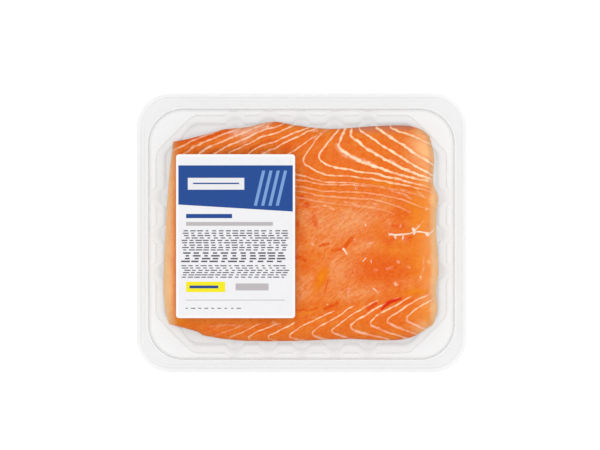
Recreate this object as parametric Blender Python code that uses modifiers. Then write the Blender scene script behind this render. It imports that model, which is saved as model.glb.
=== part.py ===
"""Packed skin-on salmon fillet, in metres, +Z up, standing on its tray with the belly edge towards +Y.

Seven solids. The thermoformed tray is three of them, its floor, its stepped wall and its rim, so that
each has simple collision. The skin, the flesh, the lidding film and the label are the others.
"""

import bmesh
import bpy
import numpy as np
from mathutils import Vector
from mathutils.kdtree import KDTree

COLLECTION = "packed_salmon_fillet"
GAP = 0.0003

TRAY_LENGTH = 0.190
TRAY_WIDTH = 0.161
TRAY_HEIGHT = 0.022
TRAY_CORNER = 0.020
PLASTIC = 0.0006
LIP_DROP = 0.0022
LIP_ROUND = 0.0006
SEAL_STEP_INSET = 0.0030
SEAL_STEP = 0.0004

RIM_LENGTH = 0.176
RIM_WIDTH = 0.144
RIM_SHIFT = -0.00075
UPPER_WALL_DROP = 0.0046
UPPER_WALL_DRAFT = 0.0008
LEDGE_LENGTH = 0.1675
LEDGE_WIDTH = 0.137
LEDGE_CHAMFER = 0.0210
LEDGE_DROP = 0.0054
LEDGE_SOFTNESS = 0.0012
LOWER_WALL_DRAFT = 0.0018
FOOT_ROUND = 0.0026

FLUTE_BASE = 0.0116
FLUTE_CREST = 0.0058
FLUTE_DEPTH = 0.0030
LONG_SIDE_FLUTES = 5
LONG_SIDE_PITCH = 0.0193
SHORT_SIDE_FLUTES = 3
SHORT_SIDE_PITCH = 0.0216
ARC_STEPS = 6

SKIN_THICKNESS = 0.0008
FLESH_FLOOR = PLASTIC + GAP + SKIN_THICKNESS + GAP
THICKNESS_ACROSS = (
    (0.0, 0.0086), (0.12, 0.0130), (0.30, 0.0158), (0.52, 0.0143), (0.75, 0.0107), (1.0, 0.0080),
)
TAPER_ALONG = 0.06

BELLY_EDGE = (
    (-0.0745, 0.0500), (-0.0667, 0.0532), (-0.0491, 0.0585), (-0.0206, 0.0638), (0.0000, 0.0617),
    (0.0165, 0.0598), (0.0425, 0.0614), (0.0600, 0.0617), (0.0680, 0.0588), (0.0727, 0.0545),
)
TAIL_CUT = (
    (0.0760, -0.0525), (0.0782, -0.0440), (0.0774, -0.0335), (0.0789, -0.0220), (0.0775, 0.0000),
    (0.0777, 0.0120), (0.0787, 0.0205), (0.0757, 0.0290), (0.0761, 0.0432), (0.0727, 0.0545),
)
BACK_EDGE = (
    (-0.0760, -0.0525), (-0.0600, -0.0568), (-0.0560, -0.0590), (-0.0353, -0.0619), (-0.0060, -0.0622),
    (0.0270, -0.0611), (0.0525, -0.0617), (0.0640, -0.0597), (0.0760, -0.0525),
)
HEAD_CUT = (
    (-0.0760, -0.0525), (-0.0775, -0.0480), (-0.0792, -0.0340), (-0.0781, 0.0000), (-0.0762, 0.0300),
    (-0.0745, 0.0500),
)
CUT_LEAN = 0.0044
CUT_FOOT = 0.26
NATURAL_ROUND = 0.0100
NATURAL_FOOT = 0.42
UNDERCUT_NATURAL = 0.55
UNDERCUT_CUT = 0.12
UNDERCUT_REACH = 0.0080
UNDERCUT_STEPS = (0.0, 0.0014, 0.0040, UNDERCUT_REACH)
EDGE_ROWS = (0.0007, 0.0019, 0.0036, 0.0060)
FLESH_CELL = 0.0030
RIDGE_HEIGHT = 0.00055
LATERAL_GROOVE_DEPTH = 0.0007
LATERAL_GROOVE_WIDTH = 0.0024
LATERAL_GROOVE = (
    (-0.0790, -0.0520), (-0.0380, -0.0525), (-0.0066, -0.0519), (0.0107, -0.0473), (0.0280, -0.0427),
    (0.0464, -0.0387), (0.0614, -0.0369), (0.0790, -0.0352),
)

LINE_STEP = 0.0008
DROOP_START = 0.036
DROOP_RUN = 0.030
BELLY_LINES = {
    "count": 14,
    "upper_reach": 0.050,
    "lower_reach": 0.110,
    "vertex": (
        (0, 0.0522, 0.0610), (1, 0.0435, 0.0604), (2, 0.0338, 0.0593), (3, 0.0286, 0.0558),
        (4, 0.0228, 0.0518), (5, 0.0111, 0.0449), (6, 0.0009, 0.0408), (7, -0.0118, 0.0397),
        (8, -0.0233, 0.0420), (9, -0.0325, 0.0420), (10, -0.0429, 0.0431), (14, -0.0768, 0.0431),
    ),
    "angles": (
        (0, 70, 70, 22, 22, 0), (1, 75, 75, 33, 32, 0), (2, 75, 75, 36, 29, 0), (3, 80, 80, 42, 24, 0),
        (4, 66, 66, 40, 15, 2), (5, 50, 54, 38, 4, 11), (6, 50, 56, 37, 2, 12), (7, 26, 48, 38, 1, 13),
        (8, 22, 44, 46, -4, 18), (9, 20, 42, 44, -5, 20), (10, 20, 38, 42, -5, 22), (14, 20, 36, 38, -6, 26),
    ),
    "lengths": (
        (0, 0.002, 0.02, 0.02), (3, 0.002, 0.02, 0.02), (5, 0.0035, 0.012, 0.012),
        (7, 0.004, 0.012, 0.018), (8, 0.004, 0.010, 0.024), (9, 0.004, 0.010, 0.034),
        (10, 0.004, 0.010, 0.045), (14, 0.006, 0.012, 0.09),
    ),
}
BACK_LINES = {
    "count": 13,
    "upper_reach": 0.022,
    "lower_reach": 0.022,
    "vertex": (
        (0, 0.0712, -0.0479), (1, 0.0608, -0.0496), (3, 0.0395, -0.0525), (6, 0.0067, -0.0588),
        (7, -0.0071, -0.0600), (12, -0.0642, -0.0628), (13, -0.0757, -0.0628),
    ),
    "angles": (
        (0, 30, 40, 34, 28, 0), (3, 26, 42, 33, 12, 0), (6, 30, 40, 24, 8, 0), (8, 22, 30, 16, 6, 0),
        (13, 20, 26, 14, 4, 0),
    ),
    "lengths": ((0, 0.002, 0.010, 0.010), (13, 0.002, 0.010, 0.010)),
}

FILM_INSET = 0.0012
FILM_THICKNESS = 0.0002
LABEL_LENGTH = 0.0685
LABEL_WIDTH = 0.0943
LABEL_CENTRE = (-0.0379, -0.0019)
LABEL_CORNER = 0.0018
LABEL_THICKNESS = 0.00025

TRAY_FINISH = ((0.86, 0.87, 0.88), 0.25)
MATERIALS = {
    "tray_rim": TRAY_FINISH,
    "tray_wall": TRAY_FINISH,
    "tray_floor": TRAY_FINISH,
    "skin": ((0.33, 0.35, 0.37), 0.30),
    "flesh": ((0.86, 0.30, 0.10), 0.35),
    "film": ((0.93, 0.95, 0.96), 0.08),
    "label": ((0.86, 0.87, 0.90), 0.45),
}


def smooth(t):
    """Eased step from 0 to 1 for t from 0 to 1."""
    t = np.clip(t, 0.0, 1.0)
    return t * t * (3 - 2 * t)


def knots(pairs, at):
    """Smooth value, or row of values, between knots whose first number is the place."""
    places = np.array([pair[0] for pair in pairs], float)
    values = np.array([pair[1:] for pair in pairs], float)
    k = int(np.clip(np.searchsorted(places, at) - 1, 0, len(places) - 2))
    before = max(k - 1, 0)
    after = min(k + 2, len(places) - 1)
    width = places[k + 1] - places[k]
    start_slope = (values[k + 1] - values[before]) / (places[k + 1] - places[before]) * width
    end_slope = (values[after] - values[k]) / (places[after] - places[k]) * width
    t = (at - places[k]) / width
    ease = t * t * (3 - 2 * t)
    result = values[k] * (1 - ease) + values[k + 1] * ease
    return result + start_slope * t * (1 - t) ** 2 - end_slope * t * t * (1 - t)


def curve_through(points):
    """Function from 0..1, by length, to a place on the smooth curve through the points."""
    corners = np.array(points, float)
    lengths = np.linalg.norm(np.diff(corners, axis=0), axis=1)
    places = np.concatenate([[0.0], np.cumsum(lengths)]) / lengths.sum()
    pairs = [(place, *corner) for place, corner in zip(places, corners)]
    return lambda share: knots(pairs, share)


def make_object(name, bm):
    """Named object from a bmesh, with its own material, in the part's collection."""
    bmesh.ops.recalc_face_normals(bm, faces=bm.faces)
    mesh = bpy.data.meshes.new(name)
    bm.to_mesh(mesh)
    bm.free()
    item = bpy.data.objects.new(name, mesh)
    bpy.data.collections[COLLECTION].objects.link(item)
    colour, roughness = MATERIALS[name]
    material = bpy.data.materials.new(name)
    material.use_nodes = True
    shader = material.node_tree.nodes["Principled BSDF"]
    shader.inputs["Base Color"].default_value = (*colour, 1.0)
    shader.inputs["Roughness"].default_value = roughness
    item.data.materials.append(material)
    return item


def bridge(bm, lower, upper):
    """Band of quads between two rings of equal length."""
    count = len(lower)
    for k in range(count):
        following = (k + 1) % count
        bm.faces.new((lower[k], lower[following], upper[following], upper[k]))


def side_places(half_straight, chamfer_start, flutes, pitch):
    """Places along one straight side where its outline bends, from one end to the other."""
    places = [-chamfer_start - LEDGE_SOFTNESS, -chamfer_start + LEDGE_SOFTNESS]
    for k in range(flutes):
        middle = (k - (flutes - 1) / 2) * pitch
        for offset in (-FLUTE_BASE / 2, -FLUTE_CREST / 2, FLUTE_CREST / 2, FLUTE_BASE / 2):
            places.append(middle + offset)
    places += [chamfer_start - LEDGE_SOFTNESS, chamfer_start + LEDGE_SOFTNESS]
    return [place for place in places if abs(place) < half_straight]


def flute_share(place, flutes, pitch):
    """How far the wall stands out at a place along its side: 1 on a flute's crest, 0 between flutes."""
    nearest = min(abs(place - (k - (flutes - 1) / 2) * pitch) for k in range(flutes))
    slope = (FLUTE_BASE - FLUTE_CREST) / 2
    return float(np.clip((FLUTE_BASE / 2 - nearest) / slope, 0, 1))


def tray_stations():
    """Stations round the tray, anticlockwise from the +X side, each a place where some ring may bend.

    A station has its outward direction and its flute share, with its place along a side or its corner's signs.
    """
    long_side = side_places(
        RIM_LENGTH / 2 - TRAY_CORNER, LEDGE_LENGTH / 2 - LEDGE_CHAMFER, LONG_SIDE_FLUTES, LONG_SIDE_PITCH
    )
    short_side = side_places(
        RIM_WIDTH / 2 - TRAY_CORNER, LEDGE_WIDTH / 2 - LEDGE_CHAMFER, SHORT_SIDE_FLUTES, SHORT_SIDE_PITCH
    )
    sides = (
        (short_side, SHORT_SIDE_FLUTES, SHORT_SIDE_PITCH, (1, 1)),
        (long_side, LONG_SIDE_FLUTES, LONG_SIDE_PITCH, (-1, 1)),
        (short_side, SHORT_SIDE_FLUTES, SHORT_SIDE_PITCH, (-1, -1)),
        (long_side, LONG_SIDE_FLUTES, LONG_SIDE_PITCH, (1, -1)),
    )
    stations = []
    for number, (places, flutes, pitch, corner) in enumerate(sides):
        start = np.radians(number * 90.0)
        for place in places:
            outward = Vector((np.cos(start), np.sin(start)))
            flute = flute_share(place, flutes, pitch)
            stations.append({"outward": outward, "flute": flute, "place": place, "corner": None})
        for step in range(ARC_STEPS + 1):
            angle = start + np.radians(90.0) * step / ARC_STEPS
            outward = Vector((np.cos(angle), np.sin(angle)))
            stations.append({"outward": outward, "flute": 0.0, "place": None, "corner": corner})
    return stations


def frame_point(station, length, width, shift):
    """Place of a station on a rounded rectangle that is shifted along Y."""
    outward = station["outward"]
    if station["corner"]:
        sign_x, sign_y = station["corner"]
        centre = Vector((sign_x * (length / 2 - TRAY_CORNER), sign_y * (width / 2 - TRAY_CORNER)))
        point = centre + outward * TRAY_CORNER
    else:
        along = Vector((-outward.y, outward.x))
        half = length / 2 if abs(outward.x) > abs(outward.y) else width / 2
        point = outward * half + along * station["place"]
    return point + Vector((0, shift))


def ledge_inset(point, outward, flute):
    """Distance from the rim in to the chamfered ledge line, less where a flute stands out."""
    half_length = LEDGE_LENGTH / 2
    half_width = LEDGE_WIDTH / 2
    diagonal = (half_length + half_width - LEDGE_CHAMFER) / np.sqrt(2)
    sides = (((1, 0), half_length), ((0, 1), half_width), ((np.sqrt(0.5), np.sqrt(0.5)), diagonal))
    place = Vector((abs(point.x), abs(point.y - RIM_SHIFT)))
    inward = Vector((-abs(outward.x), -abs(outward.y)))
    reaches = []
    for normal, limit in sides:
        closing = -Vector(normal).dot(inward)
        if closing > 0.2:
            reaches.append((Vector(normal).dot(place) - limit) / closing)
    reaches = np.array(reaches)
    longest = reaches.max()
    softened = longest + LEDGE_SOFTNESS * np.log(np.exp((reaches - longest) / LEDGE_SOFTNESS).sum())
    return softened - flute * FLUTE_DEPTH


def lower_wall(draft):
    """Inset of a ring below the ledge line, further in by the draft."""
    return lambda point, outward, flute: ledge_inset(point, outward, flute) + draft


def tray_ring(bm, stations, level, outer_inset=None, wall_inset=None):
    """Ring of the tray's inner face, a distance in from its outer edge, or from its rim as a function gives."""
    ring = []
    for station in stations:
        outward = station["outward"]
        if outer_inset is not None:
            point = frame_point(station, TRAY_LENGTH, TRAY_WIDTH, 0.0) - outward * outer_inset
        else:
            point = frame_point(station, RIM_LENGTH, RIM_WIDTH, RIM_SHIFT)
            point = point - outward * wall_inset(point, outward, station["flute"])
        ring.append(bm.verts.new((point.x, point.y, level)))
    return ring


def tray_piece(name, bm, rings):
    """One piece of the tray: a band of its inner face, or a flat face for a single ring, thickened outwards."""
    for lower, upper in zip(rings[1:], rings[:-1]):
        bridge(bm, lower, upper)
    if len(rings) == 1:
        bm.faces.new(rings[0])
    piece = make_object(name, bm)
    if sum(face.normal.z * face.area for face in piece.data.polygons) < 0:
        piece.data.flip_normals()
    shell = piece.modifiers.new("wall", "SOLIDIFY")
    shell.thickness = PLASTIC
    shell.offset = -1.0
    shell.use_even_offset = True
    piece.data.shade_smooth()
    piece.data.set_sharp_from_angle(angle=np.radians(30))


def make_tray():
    """Tray in three pieces that stand apart by the gap: its rim, its stepped wall and its floor."""
    stations = tray_stations()
    top = TRAY_HEIGHT
    bm = bmesh.new()
    outer_rings = (
        (top - LIP_DROP, 0.0),
        (top - SEAL_STEP - LIP_ROUND, 0.0),
        (top - SEAL_STEP, LIP_ROUND),
        (top - SEAL_STEP, SEAL_STEP_INSET - SEAL_STEP),
        (top, SEAL_STEP_INSET),
    )
    inner_rings = (
        (top, lambda point, outward, flute: 0.0),
        (top - UPPER_WALL_DROP + GAP, lambda point, outward, flute: UPPER_WALL_DRAFT),
    )
    rings = [tray_ring(bm, stations, level, outer_inset=inset) for level, inset in outer_rings]
    rings += [tray_ring(bm, stations, level, wall_inset=inset) for level, inset in inner_rings]
    tray_piece("tray_rim", bm, rings)
    bm = bmesh.new()
    wall_rings = (
        (top - UPPER_WALL_DROP, lambda point, outward, flute: UPPER_WALL_DRAFT - PLASTIC),
        (top - UPPER_WALL_DROP, lambda point, outward, flute: UPPER_WALL_DRAFT),
        (top - LEDGE_DROP, ledge_inset),
        (PLASTIC + FOOT_ROUND, lower_wall(LOWER_WALL_DRAFT)),
        (PLASTIC + FOOT_ROUND * 0.15, lower_wall(LOWER_WALL_DRAFT + FOOT_ROUND * 0.6)),
    )
    rings = [tray_ring(bm, stations, level, wall_inset=inset) for level, inset in wall_rings]
    tray_piece("tray_wall", bm, rings)
    bm = bmesh.new()
    floor_inset = lower_wall(LOWER_WALL_DRAFT + FOOT_ROUND * 0.7)
    tray_piece("tray_floor", bm, [tray_ring(bm, stations, PLASTIC, wall_inset=floor_inset)])


EDGES = [curve_through(points) for points in (BACK_EDGE, BELLY_EDGE, HEAD_CUT, TAIL_CUT)]
FILLET_SPAN = (
    float(np.linalg.norm(np.diff(np.array(BELLY_EDGE), axis=0), axis=1).sum()),
    float(np.linalg.norm(np.diff(np.array(TAIL_CUT), axis=0), axis=1).sum()),
)


def fillet_point(u, v):
    """Place on the fillet: u from the head cut to the tail cut, v from the back edge to the belly edge."""
    back, belly, head, tail = (edge(share) for edge, share in zip(EDGES, (u, u, v, v)))
    corners = [EDGES[0](0.0), EDGES[0](1.0), EDGES[1](0.0), EDGES[1](1.0)]
    low = corners[0] * (1 - u) + corners[1] * u
    high = corners[2] * (1 - u) + corners[3] * u
    return back * (1 - v) + belly * v + head * (1 - u) + tail * u - low * (1 - v) - high * v


def full_thickness(u, v):
    """Thickness of the flesh away from its edges."""
    return float(knots(THICKNESS_ACROSS, v)[0]) * (1 + TAPER_ALONG * (0.5 - u))


def edge_share(u, v):
    """Share of the full thickness: a leaning knife cut at both ends, rounded natural edges at both sides."""
    to_cut = min(u, 1 - u) * FILLET_SPAN[0]
    to_natural = min(v, 1 - v) * FILLET_SPAN[1]
    cut = CUT_FOOT + (1 - CUT_FOOT) * np.clip(to_cut / CUT_LEAN, 0, 1)
    back_off = 1 - np.clip(to_natural / NATURAL_ROUND, 0, 1)
    natural = NATURAL_FOOT + (1 - NATURAL_FOOT) * np.sqrt(1 - back_off**2)
    return float(min(cut, natural))


def grain_line(family, index):
    """One fat line, from its upper end down to its vertex and on to the tail, and the vertex's number in it."""
    x, y = knots(family["vertex"], index)
    upper_far, upper, lower, far, droop = np.radians(knots(family["angles"], index))
    bend, upper_relax, lower_relax = knots(family["lengths"], index)
    before = int(round(family["upper_reach"] / LINE_STEP))
    after = int(round(family["lower_reach"] / LINE_STEP))
    reach = np.arange(-before, after + 1) * LINE_STEP
    turn = smooth((reach + bend) / (2 * bend))
    late = smooth((x + reach - DROOP_START) / DROOP_RUN)
    upper_now = upper + (upper_far - upper) * (1 - np.exp(np.clip(reach, None, 0) / upper_relax))
    lower_now = far + (lower - far) * np.exp(-np.clip(reach, 0, None) / lower_relax) + droop * late
    heading = (np.pi + upper_now) * (1 - turn) + (2 * np.pi - lower_now) * turn
    path = np.cumsum(np.stack([np.cos(heading), np.sin(heading)], 1) * LINE_STEP, 0)
    return path - path[before] + np.array([x, y])


class GrainField:
    """Continuous line number over the fillet, read from lines laid a quarter of a number apart."""

    SPACING = 0.25

    def __init__(self, family):
        self.numbers = np.arange(-1.0, family["count"] + 1.0, self.SPACING)
        self.lines = np.array([grain_line(family, number) for number in self.numbers])
        across = np.gradient(self.lines, self.SPACING, axis=0)
        along = np.gradient(self.lines, LINE_STEP, axis=1)
        area = across[..., 0] * along[..., 1] - across[..., 1] * along[..., 0]
        area = np.where(np.abs(area) < 1e-5, 1e-5, area)
        self.slope = np.stack([along[..., 1] / area, -along[..., 0] / area], -1)
        self.tree = KDTree(self.lines.shape[0] * self.lines.shape[1])
        flat = self.lines.reshape(-1, 2)
        for k, place in enumerate(flat):
            self.tree.insert((place[0], place[1], 0.0), k)
        self.tree.balance()

    def number_at(self, x, y):
        """Line number at a place, and how far the nearest laid line is."""
        _, k, distance = self.tree.find((x, y, 0.0))
        row, column = divmod(k, self.lines.shape[1])
        offset = np.array([x, y]) - self.lines[row, column]
        step = float(offset @ self.slope[row, column])
        return self.numbers[row] + float(np.clip(step, -self.SPACING, self.SPACING)), distance


def lateral_groove_at(x):
    """Height on the sheet, in Y, of the groove along the fish's side."""
    return float(knots(LATERAL_GROOVE, float(np.clip(x, LATERAL_GROOVE[0][0], LATERAL_GROOVE[-1][0])))[0])


def relief(x, y, fields):
    """Low ridges between the fat lines, and the lateral groove."""
    above = y - lateral_groove_at(x)
    belly, back = fields
    if above > 0:
        number, distance = belly.number_at(x, y)
    else:
        number, distance = back.number_at(x, y)
    fade = 1 - smooth((distance - LINE_STEP) / 0.006)
    ridges = (0.5 - 0.5 * np.cos(2 * np.pi * number)) * fade
    groove = np.exp(-((above / LATERAL_GROOVE_WIDTH) ** 2))
    return float(ridges * RIDGE_HEIGHT - groove * LATERAL_GROOVE_DEPTH)


def fillet_shares(span):
    """Grid places along one direction, closer together at both edges."""
    rows = [0.0] + [row / span for row in EDGE_ROWS]
    inner = span - 2 * EDGE_ROWS[-1]
    count = int(round(inner / FLESH_CELL))
    middle = [(EDGE_ROWS[-1] + inner * k / count) / span for k in range(1, count)]
    return rows + middle + [1 - row for row in reversed(rows)]


def border(columns, rows):
    """Grid places round the border, anticlockwise from the back edge's head end."""
    lower = [(i, 0) for i in range(columns - 1)]
    right = [(columns - 1, j) for j in range(rows - 1)]
    upper = [(i, rows - 1) for i in range(columns - 1, 0, -1)]
    left = [(0, j) for j in range(rows - 1, 0, -1)]
    return lower + right + upper + left


def undercut_share(v):
    """How much of the edge's height the underside rises: much at a natural edge, little along a cut."""
    to_natural = min(v, 1 - v) * FILLET_SPAN[1]
    return UNDERCUT_NATURAL + (UNDERCUT_CUT - UNDERCUT_NATURAL) * float(smooth(to_natural / NATURAL_ROUND))


def underside(u, v, inset):
    """Place on the underside, a given distance in from the border place at u, v."""
    height = full_thickness(u, v) * edge_share(u, v) * undercut_share(v)
    rise = height * (1 - inset / UNDERCUT_REACH) ** 2
    along = inset / FILLET_SPAN[0]
    across = inset / FILLET_SPAN[1]
    x, y = fillet_point(along + u * (1 - 2 * along), across + v * (1 - 2 * across))
    return x, y, rise


def make_flesh():
    """Flesh: a grid over the top, rings that curl under, and a flat base."""
    bm = bmesh.new()
    fields = (GrainField(BELLY_LINES), GrainField(BACK_LINES))
    us = fillet_shares(FILLET_SPAN[0])
    vs = fillet_shares(FILLET_SPAN[1])
    grid = []
    for u in us:
        column = []
        for v in vs:
            x, y = fillet_point(u, v)
            share = edge_share(u, v)
            height = full_thickness(u, v) * share + relief(x, y, fields) * share
            column.append(bm.verts.new((x, y, FLESH_FLOOR + height)))
        grid.append(column)
    for i in range(len(us) - 1):
        for j in range(len(vs) - 1):
            bm.faces.new((grid[i][j], grid[i + 1][j], grid[i + 1][j + 1], grid[i][j + 1]))
    loop = border(len(us), len(vs))
    ring = [grid[i][j] for i, j in loop]
    for inset in UNDERCUT_STEPS:
        following = []
        for i, j in loop:
            x, y, rise = underside(us[i], vs[j], inset)
            following.append(bm.verts.new((x, y, FLESH_FLOOR + rise)))
        bridge(bm, following, ring)
        ring = following
    bm.faces.new(ring)
    flesh = make_object("flesh", bm)
    flesh.data.shade_smooth()
    return flesh


def make_skin():
    """Skin: a thin sheet that follows the flesh's underside and ends just inside its border."""
    bm = bmesh.new()
    us = fillet_shares(FILLET_SPAN[0])
    vs = fillet_shares(FILLET_SPAN[1])
    loop = border(len(us), len(vs))[::2]
    rings = []
    insets = UNDERCUT_STEPS[1:]
    for drop, order in ((GAP, insets[::-1]), (GAP + SKIN_THICKNESS, insets)):
        for inset in order:
            ring = []
            for i, j in loop:
                x, y, rise = underside(us[i], vs[j], inset)
                ring.append(bm.verts.new((x, y, FLESH_FLOOR + rise - drop)))
            rings.append(ring)
    for upper, lower in zip(rings[:-1], rings[1:]):
        bridge(bm, lower, upper)
    bm.faces.new(rings[0])
    bm.faces.new(rings[-1])
    skin = make_object("skin", bm)
    skin.data.shade_smooth()
    return skin


def rounded_sheet(name, size, corner, base):
    """Thin sheet with round corners, standing on the base point."""
    length, width, thickness = size
    curve = bpy.data.curves.new(name, "CURVE")
    curve.dimensions = "2D"
    curve.fill_mode = "BOTH"
    curve.extrude = thickness / 2
    points = []
    for number, (sign_x, sign_y) in enumerate(((1, 1), (-1, 1), (-1, -1), (1, -1))):
        for step in range(ARC_STEPS + 1):
            angle = np.radians(number * 90.0 + 90.0 * step / ARC_STEPS)
            x = sign_x * (length / 2 - corner) + corner * np.cos(angle)
            y = sign_y * (width / 2 - corner) + corner * np.sin(angle)
            points.append((x, y, 0.0, 1.0))
    spline = curve.splines.new("POLY")
    spline.points.add(len(points) - 1)
    for point, place in zip(spline.points, points):
        point.co = place
    spline.use_cyclic_u = True
    guide = bpy.data.objects.new(name + "_outline", curve)
    bpy.data.collections[COLLECTION].objects.link(guide)
    evaluated = guide.evaluated_get(bpy.context.evaluated_depsgraph_get())
    mesh = bpy.data.meshes.new_from_object(evaluated)
    bpy.data.objects.remove(guide)
    bm = bmesh.new()
    bm.from_mesh(mesh)
    bmesh.ops.remove_doubles(bm, verts=bm.verts, dist=0.00001)
    item = make_object(name, bm)
    item.location = Vector(base) + Vector((0, 0, thickness / 2))
    return item


def main():
    """Clears the scene and builds the seven solids."""
    for item in list(bpy.data.objects):
        bpy.data.objects.remove(item)
    collection = bpy.data.collections.new(COLLECTION)
    bpy.context.scene.collection.children.link(collection)
    make_tray()
    make_skin()
    make_flesh()
    film_level = TRAY_HEIGHT + GAP
    film_size = (TRAY_LENGTH - 2 * FILM_INSET, TRAY_WIDTH - 2 * FILM_INSET, FILM_THICKNESS)
    label_size = (LABEL_LENGTH, LABEL_WIDTH, LABEL_THICKNESS)
    label_level = film_level + FILM_THICKNESS + GAP
    rounded_sheet("film", film_size, TRAY_CORNER - FILM_INSET, (0.0, 0.0, film_level))
    rounded_sheet("label", label_size, LABEL_CORNER, (*LABEL_CENTRE, label_level))


main()
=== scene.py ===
"""Looks of a packed skin-on salmon fillet, built round its CAD model, in metres.

The pack stands on the floor with +Z up through its film and +Y towards the fillet's belly edge.
"""

import math

import bmesh
import bpy
import numpy as np
from bpy.props import FloatProperty, FloatVectorProperty, IntProperty, PointerProperty
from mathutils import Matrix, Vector, noise
from mathutils.bvhtree import BVHTree
from mathutils.kdtree import KDTree


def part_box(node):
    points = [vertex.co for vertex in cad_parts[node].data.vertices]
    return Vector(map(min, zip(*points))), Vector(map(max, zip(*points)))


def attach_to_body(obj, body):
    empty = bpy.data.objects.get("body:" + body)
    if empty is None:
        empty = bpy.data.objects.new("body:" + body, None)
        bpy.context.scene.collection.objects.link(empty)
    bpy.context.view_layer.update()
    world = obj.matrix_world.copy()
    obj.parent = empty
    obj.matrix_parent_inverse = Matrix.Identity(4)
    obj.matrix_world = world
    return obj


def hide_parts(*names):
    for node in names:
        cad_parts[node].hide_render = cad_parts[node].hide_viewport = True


bl_info = {
    "name": "Packed fish fillet",
    "version": (1, 0, 0),
    "blender": (4, 5, 0),
    "location": "View3D > Sidebar > Fillet pack",
    "description": "Builds the looks of a skin-on salmon fillet in a clear sealed tray",
    "category": "Object",
}

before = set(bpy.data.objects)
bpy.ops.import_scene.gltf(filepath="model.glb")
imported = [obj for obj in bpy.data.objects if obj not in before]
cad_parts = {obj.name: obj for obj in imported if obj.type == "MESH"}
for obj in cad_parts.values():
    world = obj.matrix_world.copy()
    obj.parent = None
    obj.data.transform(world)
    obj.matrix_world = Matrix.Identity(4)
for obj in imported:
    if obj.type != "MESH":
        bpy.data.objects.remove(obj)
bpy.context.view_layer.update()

# The photograph looks straight down: one of its pixels is this long on the pack.
PIXEL = 0.000576
PHOTO_MIDDLE = (301.4, 232.9)

# Tray, as in the CAD model.
TRAY_LENGTH = 0.190
TRAY_WIDTH = 0.161
TRAY_HEIGHT = 0.022
TRAY_CORNER = 0.020
PLASTIC = 0.0006
LIP_DROP = 0.0022
LIP_ROUND = 0.0006
SEAL_STEP_INSET = 0.0030
SEAL_STEP = 0.0004
RIM_LENGTH = 0.176
RIM_WIDTH = 0.144
RIM_SHIFT = -0.00075
UPPER_WALL_DROP = 0.0046
UPPER_WALL_DRAFT = 0.0008
LEDGE_LENGTH = 0.1675
LEDGE_WIDTH = 0.137
LEDGE_CHAMFER = 0.0210
LEDGE_DROP = 0.0054
LEDGE_SOFTNESS = 0.0012
LOWER_WALL_DRAFT = 0.0018
FOOT_ROUND = 0.0026
FLUTE_BASE = 0.0116
FLUTE_CREST = 0.0058
FLUTE_DEPTH = 0.0030
LONG_SIDE = (5, 0.0193)
SHORT_SIDE = (3, 0.0216)
CORNER_STEPS = 16
STATION_STEP = 0.0015
BEND_STEPS = 4
BEND_SHARE = 0.45
# Share of the bends' painted lines of shade and highlight that fades on a flute's crest.
FLUTE_LINE_FADE = 0.75
LEAST_CLOSING = 0.2
WELD_DISTANCE = 0.000005

# Fillet, as in the CAD model.
FLESH_FLOOR = 0.0020
THICKNESS_ACROSS = (
    (0.0, 0.0086), (0.12, 0.0130), (0.30, 0.0158), (0.52, 0.0143), (0.75, 0.0107), (1.0, 0.0080),
)
TAPER_ALONG = 0.06
BELLY_EDGE = (
    (-0.0738, 0.0524), (-0.0653, 0.0540), (-0.0590, 0.0556), (-0.0521, 0.0573), (-0.0453, 0.0594),
    (-0.0396, 0.0600), (-0.0293, 0.0611), (-0.0206, 0.0634), (-0.0140, 0.0638), (-0.0031, 0.0618),
    (0.0165, 0.0598), (0.0425, 0.0614), (0.0600, 0.0617), (0.0688, 0.0595), (0.0738, 0.0555),
)
TAIL_CUT = (
    (0.0760, -0.0525), (0.0782, -0.0440), (0.0774, -0.0335), (0.0789, -0.0220), (0.0775, 0.0000),
    (0.0777, 0.0120), (0.0787, 0.0205), (0.0757, 0.0290), (0.0763, 0.0432), (0.0738, 0.0555),
)
BACK_EDGE = (
    (-0.0760, -0.0525), (-0.0600, -0.0568), (-0.0560, -0.0590), (-0.0353, -0.0619), (-0.0060, -0.0622),
    (0.0270, -0.0611), (0.0525, -0.0617), (0.0640, -0.0597), (0.0760, -0.0525),
)
HEAD_CUT = (
    (-0.0760, -0.0525), (-0.0775, -0.0480), (-0.0792, -0.0340), (-0.0781, 0.0000), (-0.0762, 0.0300),
    (-0.0738, 0.0524),
)
FULLER = 1.009
CUT_LEAN = 0.0044
CUT_FOOT = 0.26
NATURAL_ROUND = 0.0100
NATURAL_FOOT = 0.42
UNDERCUT_NATURAL = 0.55
UNDERCUT_CUT = 0.12
UNDERCUT_REACH = 0.0080
UNDERCUT_STEPS = (0.0, 0.0007, 0.0014, 0.0027, 0.0040, 0.0060, UNDERCUT_REACH)
RIDGE_HEIGHT = 0.00055
GROOVE_DEPTH = 0.0007
GROOVE_WIDTH = 0.0024
LATERAL_GROOVE = (
    (-0.0790, -0.0520), (-0.0380, -0.0525), (-0.0066, -0.0519), (0.0107, -0.0473), (0.0280, -0.0427),
    (0.0464, -0.0387), (0.0614, -0.0369), (0.0790, -0.0352),
)

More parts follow.
